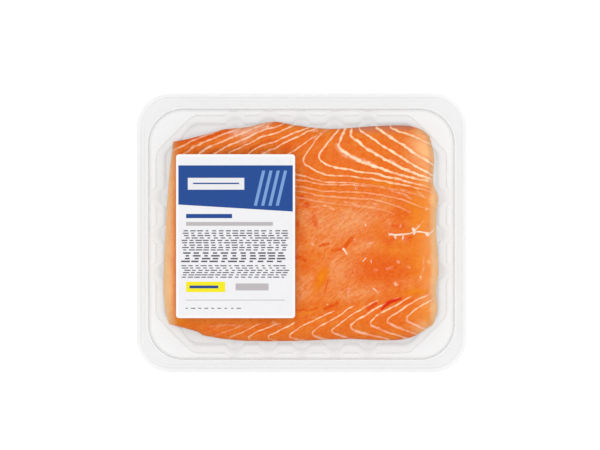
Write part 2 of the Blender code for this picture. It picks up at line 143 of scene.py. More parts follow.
# Fat lines: each turns at its vertex, from an upper leg to a lower leg that runs on to the tail.
LINE_STEP = 0.0008
DROOP_START = 0.036
DROOP_RUN = 0.030
BELLY_LINES = {
    "count": 14,
    "upper_reach": 0.050,
    "lower_reach": 0.110,
    "vertex": (
        (0, 0.0522, 0.0610), (1, 0.0435, 0.0604), (2, 0.0338, 0.0593), (3, 0.0286, 0.0558),
        (4, 0.0217, 0.0501), (5, 0.0105, 0.0437), (6, 0.0009, 0.0408), (7, -0.0118, 0.0397),
        (8, -0.0233, 0.0420), (9, -0.0325, 0.0420), (10, -0.0429, 0.0431), (14, -0.0768, 0.0431),
    ),
    "angles": (
        (0, 70, 70, 22, 22, 0), (1, 75, 75, 33, 32, 0), (2, 75, 75, 36, 29, 0), (3, 80, 80, 44, 20, 0),
        (4, 66, 66, 48, 9, 4), (5, 50, 54, 42, 3, 13), (6, 50, 56, 37, 2, 12), (7, 26, 48, 38, 1, 13),
        (8, 22, 44, 46, -4, 18), (9, 20, 42, 44, -5, 20), (10, 20, 38, 42, -5, 22),
        (14, 20, 36, 38, -6, 26),
    ),
    "lengths": (
        (0, 0.002, 0.02, 0.02), (3, 0.002, 0.02, 0.02), (5, 0.0035, 0.012, 0.012),
        (7, 0.004, 0.012, 0.018), (8, 0.004, 0.010, 0.024), (9, 0.004, 0.010, 0.034),
        (10, 0.004, 0.010, 0.045), (14, 0.006, 0.012, 0.09),
    ),
    "upper_strength": (0.65, 0.8, 0.9, 0.95, 0.95, 0.85, 0.75, 0.85, 0.85, 0.85, 0.85, 0.85, 0.8, 0.7, 0.6),
    "lower_strength": (0.85, 1.0, 1.0, 1.0, 1.0, 0.95, 0.75, 0.58, 0.48, 0.42, 0.38, 0.25, 0.1, 0.0, 0.0),
    "width": (1.1, 1.3, 1.15, 1.25, 1.35, 1.05, 0.85, 0.8, 0.75, 0.75, 0.75, 0.85, 0.9, 0.9, 0.9),
}
BACK_LINES = {
    "count": 13,
    "upper_reach": 0.036,
    "lower_reach": 0.022,
    "vertex": (
        (0, 0.0712, -0.0479), (1, 0.0608, -0.0496), (3, 0.0395, -0.0525), (6, 0.0067, -0.0588),
        (7, -0.0071, -0.0600), (12, -0.0642, -0.0628), (13, -0.0757, -0.0628),
    ),
    "angles": (
        (0, 30, 40, 34, 28, 0), (3, 26, 42, 33, 12, 0), (6, 30, 40, 24, 8, 0), (8, 22, 30, 16, 6, 0),
        (13, 20, 26, 14, 4, 0),
    ),
    "lengths": ((0, 0.002, 0.010, 0.010), (13, 0.002, 0.010, 0.010)),
    "upper_strength": (0.0, 0.75, 0.85, 0.8, 0.85, 0.8, 0.8, 0.85, 0.85, 0.8, 0.6, 0.3, 0.1, 0.0),
    "lower_strength": (0.0, 0.75, 0.7, 0.65, 0.65, 0.6, 0.55, 0.5, 0.4, 0.3, 0.2, 0.1, 0.0, 0.0),
    "width": (1.0, 1.0, 1.0, 1.0, 1.0, 0.9, 0.9, 0.85, 0.8, 0.8, 0.8, 0.8, 0.8, 0.8),
}

# How a fat line looks along its way, by its distance from its vertex.
TURN_BLEND = 0.003
LINE_FADE = 0.002
THICK_LINE = 4
THICK_RUN = (0.004, 0.018, 0.010)
THICK_EXTRA = 0.0003
NARROW_UPPER = 0.85
NARROW_COUNT = 8
UPPER_PINK = 0.3
BACK_WIDTH = 0.78
BACK_THICKENING = 0.62
BACK_PINK_BLEND = 0.002
BACK_THICK_RUN = (0.006, 0.010)
BACK_VERTEX_GAP = 0.35
BACK_VERTEX_REACH = 0.0012
# Where the belly's lines fade in the photograph: towards the middle, and at the tail cut.
CENTRE_FADE = (199, 26)
TAIL_LINE_FADE = (414, 16)
TAIL_LINE_FADE_BELOW = (176, 10)
PITCH_RANGE = (0.0015, 0.02)
LEAST_AREA = 1e-5

# Wobble of the fat lines and of the colour zones: size of the waves and how far they move a place.
LINE_WAVES = ((0.012, 0.0009), (0.0045, 0.0004), (0.0018, 0.00015))
ZONE_WAVES = ((0.005, 0.0006), (0.0022, 0.0003))
# Relief of the flesh.
LUMP_SIZE = 0.006
LUMP_HEIGHT = 0.00016
GASH_DEPTH = 0.0007
DEEP_DIP = 0.0002
PALE_RISE = 0.00012
RIDGE_FADE = 0.006
SIDE_BLEND = 0.0006
BACK_SIDE_GAP = 0.0004

# Colour zones of the flesh, in the photograph's pixels. A fade is its start and its run along X.
# The cut fades and the pale edge spots make the ends paler: partly the cut flesh's own paler tone, partly
# painted light shining through the thin edges.
HEAD_CUT_FADE = (165.0, 14.0)
TAIL_CUT_FADE = (412.0, 30.0)
TAIL_EDGE_FADE = (427.0, 8.0)
SPOT_SHARPNESS = 1.3
# Spots: middle, radii, turn in degrees and strength. Strokes: points, width and strength. All in the
# photograph's pixels.
DEEP_SPOTS = (
    ((204, 136.5), (27, 4.2), 14, 0.95), ((226, 131.5), (6, 4), 0, 0.8), ((301, 198), (3, 4), 0, 0.9),
    ((306.5, 205), (5, 3.4), 10, 0.85), ((315, 222), (4, 9), 20, 0.55), ((297, 225), (4, 5), 0, 0.5),
    ((384, 270), (34, 17), 0, 0.62), ((366, 280), (14, 8), 0, 0.4), ((402, 214), (11, 9), 20, 0.42),
    ((389.5, 244.5), (4, 4), 0, 0.5), ((171.7, 260), (3, 5), 0, 0.8), ((285, 147.5), (8, 4), 15, 0.6),
    ((266.5, 128.5), (2.6, 1.6), 0, 0.9), ((358, 129), (2.2, 1.4), 0, 1),
    ((320.8, 278), (5.2, 13), -24, 1), ((300, 236), (7, 12), 0, 0.35), ((304, 268), (6, 8), 0, 0.3),
    ((371, 239), (5, 3), 30, 0.4), ((422, 294), (8, 2.6), 10, 0.5), ((420, 164), (9, 5), -20, 0.35),
    ((405, 187), (12, 3), -12, 0.5), ((250, 330), (30, 5), 0, 0.3),
)
DEEP_STROKES = (
    (((345.4, 246.2), (348.5, 242.5), (351.6, 238.6)), 3.6, 0.95),
    (((332, 250.8), (338, 249.6), (343, 248.6)), 2.8, 0.75),
    (((319, 245.8), (323, 244.8), (328, 244)), 2.8, 0.85),
    (((295.5, 256.2), (301, 257.4), (305.4, 260)), 4, 0.85),
    (((327.8, 279.5), (326.6, 286), (324.8, 292)), 1.8, 0.7),
    (((299, 311), (309, 310.2), (317, 308.4)), 2.2, 0.75),
    (((324.5, 308.6), (331, 306.6), (337.4, 303.4)), 3.2, 0.95),
    (((404.6, 240), (409, 238), (412.6, 236.8)), 2.8, 0.9), (((393, 225.4), (403.4, 226.8)), 3.4, 0.6),
    (((386.4, 238.2), (389, 241), (393, 239)), 3, 0.5),
    (((183, 141.6), (200, 139.6), (214, 135.6)), 1.6, 0.6),
    (((401, 305), (408, 301.4), (414, 299.4)), 2.4, 0.6), (((340, 291), (346, 287)), 1.8, 0.35),
    (((251, 149.5), (262, 142), (276, 138.6)), 2.2, 0.5), (((285, 135), (296, 131.4)), 2.2, 0.5),
)
AMBER_SPOTS = (
    ((321, 278.5), (5.2, 13.5), -24, 0.95), ((420, 292), (15, 4), 6, 0.85),
    ((303, 314), (14, 2.2), 6, 0.3), ((430, 184), (15, 16), -20, 0.7), ((424, 214), (14, 32), 0, 0.75),
    ((424, 262), (14, 34), 0, 0.6), ((430, 316), (13, 16), 0, 0.7), ((427, 152), (11, 12), 0, 0.35),
    ((388, 184), (22, 3.5), -8, 0.5), ((178, 322), (12, 6), -18, 0.6), ((398, 252), (14, 7), 0, 0.3),
)
HAZE_SPOTS = (
    ((347, 221), (38, 14), 24, 1), ((330, 240), (16, 8), 20, 0.6), ((321, 224), (12, 15), 0, 0.9),
    ((308, 222), (10, 20), 0, 0.6), ((340, 270), (22, 16), 20, 0.75), ((312, 284), (14, 12), 0, 0.6),
    ((356, 292), (26, 8), 8, 0.7), ((362, 246), (16, 7), 20, 0.6), ((372, 212), (14, 9), 30, 0.6),
    ((388, 222), (6, 12), 0, 0.4), ((318, 200), (18, 4), 0, 0.5), ((300, 292), (12, 10), 0, 0.6),
    ((410, 282), (12, 8), 0, 0.3),
)
# Pale edge spots: painted light on the thin tail edge, over its paler cut tone.
PALE_EDGE_SPOTS = (
    ((434, 146), (22, 26), 0, 0.75), ((424, 130), (10, 7), 0, 0.6), ((428, 330), (14, 9), 0, 0.6),
    ((434, 170), (14, 20), 0, 0.5),
)
# Brown strokes darken the rounded belly edge: partly its own browner tone, partly painted shade where the
# edge rounds away.
BROWN_STROKES = (
    (((357, 127.6), (372, 127.2), (392, 126), (410, 126.6)), 6.5, 1),
    (((300, 124.5), (330, 128), (357, 127.6)), 3, 0.35),
    (((362, 130.6), (380, 130.6), (404, 129.6)), 5, 0.55),
)
# Gash strokes: open slits between flakes, sunk in and coloured dark red, partly the red flesh inside,
# partly painted shade in the slit.
GASH_STROKES = (
    (((382.5, 308.8), (386, 304.9), (391, 301.9), (400.5, 298.9)), 2.8, 1),
    (((384.5, 305.8), (388, 303.2), (396, 300.4)), 3.6, 1),
    (((368, 308.6), (372, 306.4), (376, 304.2)), 3, 0.7),
)
LINING_SPOTS = (
    ((247, 130.5), (15, 4.6), 14, 1), ((236, 131), (7, 5), 10, 0.9), ((262, 126), (8, 4), 10, 0.9),
    ((244, 139), (6, 4), 30, 0.5),
)
# Pale strokes: fat flecks and fine membranes; some short dots among them are partly painted glints of the
# wet flesh.
PALE_AND_GLINT_STROKES = (
    (((337.5, 146), (342, 151), (348, 155.5), (356, 158.8), (364, 161)), 5.2, 0.55),
    (((366, 161.4), (372, 163.2), (377, 167.2)), 3.1, 0.77),
    (((389, 159.4), (393, 161), (397, 164.4)), 2.4, 0.51), (((268.5, 124.2), (267, 126.6)), 1.5, 0.64),
    (((262, 134.6), (265, 135.2)), 1.5, 0.59), (((311, 131), (318, 130)), 2, 0.59),
    (((313, 137), (316.5, 137.6)), 2.5, 0.51), (((324, 205.7), (328, 206.2), (334, 209)), 1.5, 0.64),
    (((312, 206.3), (324, 205.6)), 1, 0.26), (((303, 211.6), (312, 215)), 1.4, 0.34),
    (((345, 201.6), (352, 203), (359, 206.8)), 1.4, 0.55), (((374, 203), (376.6, 204.6)), 1.9, 0.47),
    (((392, 190.8), (404, 193.4), (412.4, 199)), 1.4, 0.51), (((418, 190.8), (424.8, 197.6)), 1.5, 0.47),
    (((426, 209.6), (429.4, 208.8)), 1.7, 0.51), (((347.4, 297), (348.2, 290), (350.6, 284)), 1.4, 0.38),
    (((343, 297), (350, 303)), 1, 0.21), (((374, 288.6), (378, 292.8)), 1.7, 0.59),
    (((395, 283), (396.6, 284.6)), 2.7, 0.64), (((397.6, 261.2), (399, 262)), 2.5, 0.59),
    (((407.6, 266.6), (409, 267.6)), 2.2, 0.42), (((387, 269), (392, 267.6)), 2.4, 0.34),
    (((375, 269.6), (377, 270.4)), 2, 0.3), (((420, 276.6), (420.6, 278.2)), 2.5, 0.64),
    (((407, 238.6), (404.4, 241.4)), 2.2, 0.3), (((400.4, 226.8), (400.8, 224.4)), 1.4, 0.42),
    (((415.6, 228.4), (420.6, 225), (422.4, 221)), 1.2, 0.34), (((394, 236.2), (396, 238.8)), 1.7, 0.51),
    (((403.4, 236.8), (402.8, 239.8)), 1.9, 0.51), (((262, 152.8), (270, 153.2)), 2.5, 0.47),
    (((208, 326.4), (232, 325.6), (248, 327.4)), 1.4, 0.26), (((273, 323), (279, 325.4)), 2.5, 0.34),
    (((354, 186.4), (357, 188.6)), 2, 0.38), (((311.6, 243), (313.4, 245)), 1.9, 0.38),
    (((326.4, 252), (325.8, 255)), 1.7, 0.3), (((368, 243.6), (374, 242)), 2.2, 0.26),
    (((354, 239), (356, 240.6)), 2.2, 0.42), (((418, 283), (424, 268), (425, 256)), 1.3, 0.26),
    (((429, 262), (429.8, 264)), 1.5, 0.42), (((296, 254), (300, 246)), 1.5, 0.21),
    (((333, 262), (337, 258)), 1.4, 0.21),
)

# What lies on the flesh, in the photograph's pixels: strands by name, path and radius, crumbs by place
# and size.
# Some crumbs and the glint strands sit where the wet flesh shows glints: there their pale colour is a
# painted highlight, elsewhere they are fat.
STRAND_LIFT = 0.25
STRAND_STEP = 0.0005
STRAND_UNEVENNESS = 1.7
CRUMB_RADIUS = 0.00062
CRUMB_WIDTH = 0.6
CRUMB_FLATNESS = 0.4
STRANDS = (
    ("strand_long", ((389, 235.6), (391.5, 234.2), (395, 235), (399, 234.8), (404, 234.2)), 0.0006),
    ("strand_link", ((403, 234.4), (407, 234), (411, 233.4), (414, 232)), 0.00042),
    ("strand_fray_a", ((390.4, 234.8), (388.4, 233)), 0.00046),
    ("strand_fray_b", ((394.6, 235.4), (396, 238.6)), 0.00052),
    ("strand_fray_c", ((403.6, 235), (402.6, 239.4)), 0.00052),
    ("strand_knot", ((412.6, 227.6), (414.2, 230.2), (415, 232.2), (413.8, 234.8)), 0.00105),
    (
        "strand_reach",
        (
            (414.5, 232.4), (418, 231.6), (422, 232), (426, 232.8), (430, 233.6), (433.4, 230.8),
            (434.6, 228.4),
        ),
        0.00056,
    ),
    ("strand_branch", ((415.6, 230.2), (419.4, 226.4), (420.6, 224.6)), 0.00026),
    ("strand_tip", ((425.4, 233), (427.6, 235.4), (430.2, 234.8)), 0.0006),
    ("strand_pale", ((342.6, 248), (344.6, 250.2), (347.2, 254.6)), 0.00068),
    # The glint strands are fine pale strands laid where the flesh shows glints: painted highlights.
    ("glint_strand_a", ((362.6, 261.8), (364.8, 259.6), (366.4, 257.6)), 0.0003),
    ("glint_strand_b", ((371.6, 263.4), (371, 259.8)), 0.00026),
    ("strand_fine_c", ((374.2, 288.6), (377, 291.6)), 0.00025),
    ("glint_strand_d", ((365.2, 226.4), (366, 223.8)), 0.00034),
)
# Crumbs: fat crumbs, and at some places pale beads as painted glints.
CRUMBS_AND_GLINTS = (
    (420.6, 277.2, 0.9), (395.6, 284, 0.7), (327.5, 304.5, 0.8), (312, 244, 0.4), (354.6, 239.6, 0.5),
    (409, 181.5, 0.9), (411.6, 182.6, 0.8), (355.6, 188.6, 0.5), (375.5, 204, 0.5), (426, 209.4, 0.5),
    (391.6, 234.6, 0.9), (396.4, 235.2, 0.9), (413.6, 230, 1.2), (415, 233.2, 1.1), (429.6, 234, 0.9),
)

# Label print.
INK_THICKNESS = 0.00002
PAPER_TOP = 0.0230
ROW_START_SHIFT = 0.0013
ROW_KEY = 10000.0
SHORTEST_BAR = 0.35

# Stage.
PHOTO_SIZE = (600, 450)
SENSOR_WIDTH = 36.0
CLIP_RANGE = (0.05, 20.0)
FLOOR_SIZE = 4.0
FLOOR_LEVEL = -0.0004
TOP_LIGHT_HEIGHT = 2.6
TOP_LIGHT_SIZE = 2.4
SIDE_LIGHTS = 4
SIDE_LIGHT_REACH = 1.5
SIDE_LIGHT_HEIGHT = 1.6
SIDE_LIGHT_SIZE = 1.3


def smooth(t):
    """Eased step from 0 to 1 for t from 0 to 1."""
    t = np.clip(t, 0.0, 1.0)
    return t * t * (3 - 2 * t)


def knots(pairs, at):
    """Smooth values between knots whose first number is the place, one row for each place asked for."""
    table = np.array(pairs, float)
    places = table[:, 0]
    values = table[:, 1:]
    at = np.atleast_1d(np.asarray(at, float))
    k = np.clip(np.searchsorted(places, at) - 1, 0, len(places) - 2)
    before = np.maximum(k - 1, 0)
    after = np.minimum(k + 2, len(places) - 1)
    width = (places[k + 1] - places[k])[:, None]
    start_slope = (values[k + 1] - values[before]) / (places[k + 1] - places[before])[:, None] * width
    end_slope = (values[after] - values[k]) / (places[after] - places[k])[:, None] * width
    t = (at - places[k])[:, None] / width
    ease = t * t * (3 - 2 * t)
    result = values[k] * (1 - ease) + values[k + 1] * ease
    return result + start_slope * t * (1 - t) ** 2 - end_slope * t * t * (1 - t)


def curve_through(points):
    """Function from places 0..1, by length, to places on the smooth curve through the points."""
    corners = np.array(points, float)
    lengths = np.linalg.norm(np.diff(corners, axis=0), axis=1)
    places = np.concatenate([[0.0], np.cumsum(lengths)]) / lengths.sum()
    pairs = [(place, *corner) for place, corner in zip(places, corners)]
    return lambda shares: knots(pairs, shares)


def from_photo(px, py):
    """Place on the pack, in X and Y, of a pixel of the photograph."""
    return (px - PHOTO_MIDDLE[0]) * PIXEL, (PHOTO_MIDDLE[1] - py) * PIXEL


def settings():
    """The add-on's settings in this scene."""
    return bpy.context.scene.fillet_pack


class Nodes:
    """Adds nodes to one tree and links them."""

    def __init__(self, tree):
        self.tree = tree

    def feed(self, socket, value):
        """Links a socket into another, or sets its value."""
        if isinstance(value, bpy.types.NodeSocket):
            self.tree.links.new(value, socket)
        elif value is not None:
            socket.default_value = value

    def add(self, kind, inputs=None, **options):
        """New node with its options set and its inputs fed by name or number."""
        node = self.tree.nodes.new(kind)
        for option, value in options.items():
            setattr(node, option, value)
        for key, value in (inputs or {}).items():
            self.feed(node.inputs[key], value)
        return node

    def math(self, operation, first, second=None, third=None, clamp=False):
        """Result of a math node."""
        numbers = {0: first, 1: second, 2: third}
        return self.add("ShaderNodeMath", numbers, operation=operation, use_clamp=clamp).outputs[0]

    def mix(self, share, first, second, blend="MIX"):
        """Colour between two others."""
        inputs = {0: share, 6: first, 7: second}
        node = self.add("ShaderNodeMix", inputs, data_type="RGBA", blend_type=blend)
        return node.outputs[2]

    def remap(self, value, start, end, low=0.0, high=1.0, kind="LINEAR"):
        """Value moved from one range to another and held inside it."""
        inputs = {0: value, 1: start, 2: end, 3: low, 4: high}
        return self.add("ShaderNodeMapRange", inputs, interpolation_type=kind).outputs[0]

    def noise(self, vector, scale, detail=2.0, distortion=0.0):
        """Noise value about a middle of one half."""
        inputs = {"Vector": vector, "Scale": scale, "Detail": detail, "Distortion": distortion}
        return self.add("ShaderNodeTexNoise", inputs).outputs[0]

    def attribute(self, name):
        """Attribute node for a named attribute."""
        return self.add("ShaderNodeAttribute", attribute_name=name)

    def group(self, tree, inputs):
        """Places a shared node group and returns the node."""
        return self.add(self.tree.bl_idname.replace("Tree", "Group"), inputs, node_tree=tree)


def new_group(name, kind, inputs, outputs):
    """Empty node group with named sockets, and its nodes, input node and output node."""
    tree = bpy.data.node_groups.new(name, kind)
    for label, socket_kind, default in inputs:
        socket = tree.interface.new_socket(name=label, in_out="INPUT", socket_type=socket_kind)
        if default is not None:
            socket.default_value = default
    for label, socket_kind in outputs:
        tree.interface.new_socket(name=label, in_out="OUTPUT", socket_type=socket_kind)
    nodes = Nodes(tree)
    return nodes, nodes.add("NodeGroupInput"), nodes.add("NodeGroupOutput")


def shared(name, build):
    """A node group by name, built the first time it is asked for."""
    return bpy.data.node_groups.get(name) or build(name)


def build_mottle(name):
    """Soft uneven patches."""
    nodes, source, sink = new_group(
        name, "ShaderNodeTree",
        (("Vector", "NodeSocketVector", None), ("Scale", "NodeSocketFloat", 100.0),
         ("Contrast", "NodeSocketFloat", 0.3)),
        (("Value", "NodeSocketFloat"),),
    )
    wide = nodes.noise(source.outputs["Vector"], source.outputs["Scale"], detail=3.0, distortion=0.6)
    spread = nodes.math("DIVIDE", source.outputs["Contrast"], 2.0)
    low = nodes.math("SUBTRACT", 0.5, spread)
    high = nodes.math("ADD", 0.5, spread)
    nodes.feed(sink.inputs["Value"], nodes.remap(wide, low, high, kind="SMOOTHSTEP"))
    return nodes.tree


def build_fat_lines(name):
    """Pale lines where a running line number is whole."""
    nodes, source, sink = new_group(
        name, "ShaderNodeTree",
        (("Number", "NodeSocketFloat", 0.0), ("Pitch", "NodeSocketFloat", 0.01),
         ("Width", "NodeSocketFloat", 0.001), ("Softness", "NodeSocketFloat", 0.0003),
         ("Strength", "NodeSocketFloat", 1.0)),
        (("Mask", "NodeSocketFloat"), ("Beside", "NodeSocketFloat")),
    )
    away = nodes.math("PINGPONG", source.outputs["Number"], 0.5)
    away = nodes.math("MULTIPLY", away, source.outputs["Pitch"])
    half = nodes.math("MULTIPLY", source.outputs["Width"], 0.5)
    outer = nodes.math("ADD", half, source.outputs["Softness"])
    inner = nodes.math("SUBTRACT", half, source.outputs["Softness"])
    line = nodes.remap(away, outer, inner, kind="SMOOTHSTEP")
    nodes.feed(sink.inputs["Mask"], nodes.math("MULTIPLY", line, source.outputs["Strength"]))
    wide = nodes.math("MULTIPLY", outer, 2.6)
    beside = nodes.remap(away, wide, outer, kind="SMOOTHSTEP")
    nodes.feed(sink.inputs["Beside"], nodes.math("MULTIPLY", beside, source.outputs["Strength"]))
    return nodes.tree


def build_moist_surface(name):
    """Fine wet unevenness: a height for the bump and a roughness."""
    nodes, source, sink = new_group(
        name, "ShaderNodeTree",
        (("Vector", "NodeSocketVector", None), ("Scale", "NodeSocketFloat", 400.0),
         ("Smoothest", "NodeSocketFloat", 0.3), ("Roughest", "NodeSocketFloat", 0.5)),
        (("Height", "NodeSocketFloat"), ("Roughness", "NodeSocketFloat")),
    )
    vector = source.outputs["Vector"]
    scale = source.outputs["Scale"]
    coarse = nodes.noise(vector, scale, detail=2.0)
    fine = nodes.noise(vector, nodes.math("MULTIPLY", scale, 3.4), detail=3.0)
    height = nodes.math("MULTIPLY_ADD", fine, 0.35, coarse)
    nodes.feed(sink.inputs["Height"], height)
    patch = nodes.noise(vector, nodes.math("MULTIPLY", scale, 0.22), detail=2.0)
    rough = nodes.remap(patch, 0.35, 0.65, source.outputs["Smoothest"], source.outputs["Roughest"])
    nodes.feed(sink.inputs["Roughness"], rough)
    return nodes.tree


def build_clear_plastic(name):
    """Alpha of clear plastic: thin face on, fuller where it is seen along its wall, with a faint haze."""
    nodes, source, sink = new_group(
        name, "ShaderNodeTree",
        (("Vector", "NodeSocketVector", None), ("Facing", "NodeSocketFloat", 0.0),
         ("Face on", "NodeSocketFloat", 0.05), ("Edge on", "NodeSocketFloat", 0.4),
         ("Falloff", "NodeSocketFloat", 3.0), ("Haze", "NodeSocketFloat", 0.01),
         ("Deep", "NodeSocketFloat", 1.0), ("Bend", "NodeSocketFloat", 0.0)),
        (("Alpha", "NodeSocketFloat"), ("Height", "NodeSocketFloat")),
    )
    vector = source.outputs["Vector"]
    steep = nodes.math("POWER", source.outputs["Facing"], source.outputs["Falloff"])
    alpha = nodes.remap(steep, 0.0, 1.0, source.outputs["Face on"], source.outputs["Edge on"])
    level = nodes.add("ShaderNodeSeparateXYZ", {0: vector}).outputs[2]
    drawn = nodes.remap(level, TRAY_HEIGHT - UPPER_WALL_DROP, TRAY_HEIGHT, source.outputs["Deep"], 1.0)
    alpha = nodes.math("MULTIPLY", alpha, drawn)
    alpha = nodes.math("ADD", alpha, source.outputs["Bend"])
    cloud = nodes.noise(vector, 60.0, detail=3.0)
    cloud = nodes.math("MULTIPLY", cloud, source.outputs["Haze"])
    nodes.feed(sink.inputs["Alpha"], nodes.math("ADD", alpha, cloud, clamp=True))
    nodes.feed(sink.inputs["Height"], nodes.noise(vector, 45.0, detail=2.0))
    return nodes.tree


def new_material(name):
    """Material with a Principled shader alone, and its nodes, shader and object coordinates."""
    material = bpy.data.materials.new(name)
    material.use_nodes = True
    material.node_tree.nodes.clear()
    nodes = Nodes(material.node_tree)
    output = nodes.add("ShaderNodeOutputMaterial")
    shader = nodes.add("ShaderNodeBsdfPrincipled")
    nodes.feed(output.inputs["Surface"], shader.outputs[0])
    coordinates = nodes.add("ShaderNodeTexCoord").outputs["Object"]
    return material, nodes, shader, coordinates


def bump(nodes, shader, height, strength, distance):
    """Feeds the shader's normal from a height."""
    inputs = {"Height": height, "Strength": strength, "Distance": distance}
    nodes.feed(shader.inputs["Normal"], nodes.add("ShaderNodeBump", inputs).outputs[0])


def shade(colour):
    """Colour with full alpha."""
    return (*colour, 1.0)


def plastic_material(name, colour, face_on, edge_on, falloff, haze, deep, roughness, ripple, bend_shade_and_highlight):
    """Clear plastic for the tray and the film.

    Deep is the share of its opacity that is left where it is drawn out thin. The last argument sets how
    strongly the bends are painted as lines: painted shade where a bend's value is above 0, painted
    highlight where it is below 0.
    """
    material, nodes, shader, coordinates = new_material(name)
    facing = nodes.add("ShaderNodeLayerWeight", {"Blend": 0.5}).outputs["Facing"]
    faced = nodes.math("POWER", nodes.math("SUBTRACT", 1.0, facing), 2.0)
    # Bends painted into the opacity as lines: painted shade where a bend's value is above 0, painted
    # highlight where it is below 0.
    bend = nodes.math("MULTIPLY", nodes.attribute("bend").outputs["Fac"], bend_shade_and_highlight)
    bend = nodes.math("MULTIPLY", bend, faced)
    clear = nodes.group(shared("clear_plastic", build_clear_plastic), {
        "Vector": coordinates, "Facing": facing, "Face on": face_on, "Edge on": edge_on,
        "Falloff": falloff, "Haze": haze, "Deep": deep, "Bend": bend,
    })
    nodes.feed(shader.inputs["Alpha"], clear.outputs["Alpha"])
    nodes.feed(shader.inputs["Base Color"], shade(colour))
    nodes.feed(shader.inputs["Roughness"], roughness)
    nodes.feed(shader.inputs["IOR"], 1.5)
    bump(nodes, shader, clear.outputs["Height"], 0.5, ripple)
    return material


def flesh_material():
    """Moist raw flesh: orange with pale fat lines, redder and paler zones."""
    look = settings().fillet
    material, nodes, shader, coordinates = new_material("salmon_flesh")
    mottle = shared("soft_mottle", build_mottle)
    lines = shared("fat_lines", build_fat_lines)

    def patches(scale, contrast, vector=coordinates):
        inputs = {"Vector": vector, "Scale": scale, "Contrast": contrast}
        return nodes.group(mottle, inputs).outputs["Value"]

    turned = nodes.add("ShaderNodeMapping", {
        "Vector": coordinates, "Rotation": (0.0, 0.0, -math.radians(look.fibre_turn)),
    }).outputs[0]
    fibres = nodes.add("ShaderNodeMapping", {"Vector": turned, "Scale": (0.28, 1.0, 1.0)}).outputs[0]
    wide = patches(95.0, 0.30)
    broad = patches(230.0, 0.26)
    streak = patches(640.0, 0.30, fibres)
    fine = patches(520.0, 0.30)
    speck = patches(860.0, 0.26)
    tiny = patches(1600.0, 0.5)
    grain = patches(1250.0, 0.24, fibres)
    zones = nodes.attribute("zones")
    marks = nodes.attribute("marks")
    first = nodes.add("ShaderNodeSeparateColor", {0: zones.outputs["Color"]})
    second = nodes.add("ShaderNodeSeparateColor", {0: marks.outputs["Color"]})
    deep, amber, lining = first.outputs
    brown, gash, haze = second.outputs
    cut = zones.outputs["Alpha"]
    pale_and_glint_marks = marks.outputs["Alpha"]

    colour = nodes.mix(wide, shade(look.flesh_colour), shade(look.flesh_warm_colour))
    colour = nodes.mix(nodes.math("MULTIPLY", broad, 0.55), colour, shade(look.flesh_warm_colour))
    soft = nodes.math("MULTIPLY_ADD", haze, 0.90, 0.07)
    pale = nodes.math("MULTIPLY", soft, nodes.math("MULTIPLY_ADD", fine, 0.70, 0.35), clamp=True)
    colour = nodes.mix(pale, colour, shade(look.middle_colour))
    pale = nodes.math("MULTIPLY", soft, nodes.math("MULTIPLY", streak, 0.85))
    colour = nodes.mix(pale, colour, shade(look.haze_colour))
    freckle = nodes.math("MULTIPLY", nodes.math("MULTIPLY", speck, broad), 0.42)
    colour = nodes.mix(freckle, colour, shade(look.deep_colour))
    grain_share = nodes.math("MULTIPLY", grain, nodes.math("MULTIPLY_ADD", haze, 0.26, 0.12))
    colour = nodes.mix(grain_share, colour, shade(look.haze_colour))
    darker = nodes.math("MULTIPLY", nodes.math("SUBTRACT", 1.0, grain), 0.16)
    colour = nodes.mix(darker, colour, shade(look.deep_colour))
    ragged = nodes.math("MULTIPLY_ADD", nodes.math("ADD", fine, speck), 0.48, 0.52)
    deep_share = nodes.remap(nodes.math("MULTIPLY", deep, ragged), 0.08, 0.92, 0.0, 1.0)
    colour = nodes.mix(deep_share, colour, shade(look.deep_colour))
    amber_share = nodes.math("MULTIPLY", amber, nodes.math("MULTIPLY_ADD", broad, -0.35, 1.0))
    colour = nodes.mix(amber_share, colour, shade(look.amber_colour))
    # Paler cut ends: partly their own tone, partly painted light through the thin edges.
    colour = nodes.mix(cut, colour, shade(look.cut_and_lit_edge_colour))
    # Darker belly edge: partly its own browner tone, partly painted shade of the rounding edge.
    colour = nodes.mix(brown, colour, shade(look.edge_brown_and_shade_colour))
    lining = nodes.math("MULTIPLY", lining, nodes.math("MULTIPLY_ADD", fine, 0.5, 0.6), clamp=True)
    colour = nodes.mix(lining, colour, shade(look.lining_colour))

    wander = nodes.noise(coordinates, 420.0, detail=3.0)
    jitter = nodes.remap(wander, 0.3, 0.7, 0.50, 1.55)
    fading = nodes.remap(nodes.noise(coordinates, 210.0), 0.34, 0.56, 0.58, 1.0)
    masks = []
    for family in ("belly", "back"):
        place, form = (
            nodes.add("ShaderNodeSeparateXYZ", {0: nodes.attribute(family + ending).outputs["Vector"]})
            for ending in ("_lines", "_form")
        )
        group = nodes.group(lines, {
            "Number": place.outputs[0], "Pitch": place.outputs[1],
            "Width": nodes.math("MULTIPLY", form.outputs[1], jitter),
            "Softness": look.line_softness, "Strength": form.outputs[0],
        })
        masks.append((group.outputs["Mask"], group.outputs["Beside"], form.outputs[2]))
    for mask, beside, pink in masks:
        colour = nodes.mix(nodes.math("MULTIPLY", beside, 0.30), colour, shade(look.flesh_warm_colour))
        fat = nodes.mix(pink, shade(look.fat_colour), shade(look.fat_pink_colour))
        broken = nodes.math("MULTIPLY", nodes.math("MULTIPLY_ADD", tiny, 0.2, 0.85), fading)
        colour = nodes.mix(nodes.math("MULTIPLY", mask, broken, clamp=True), colour, fat)
    # Slits: dark red, partly the flesh's own red, partly painted shade in the recess.
    colour = nodes.mix(gash, colour, shade(look.gash_red_and_shade_colour))
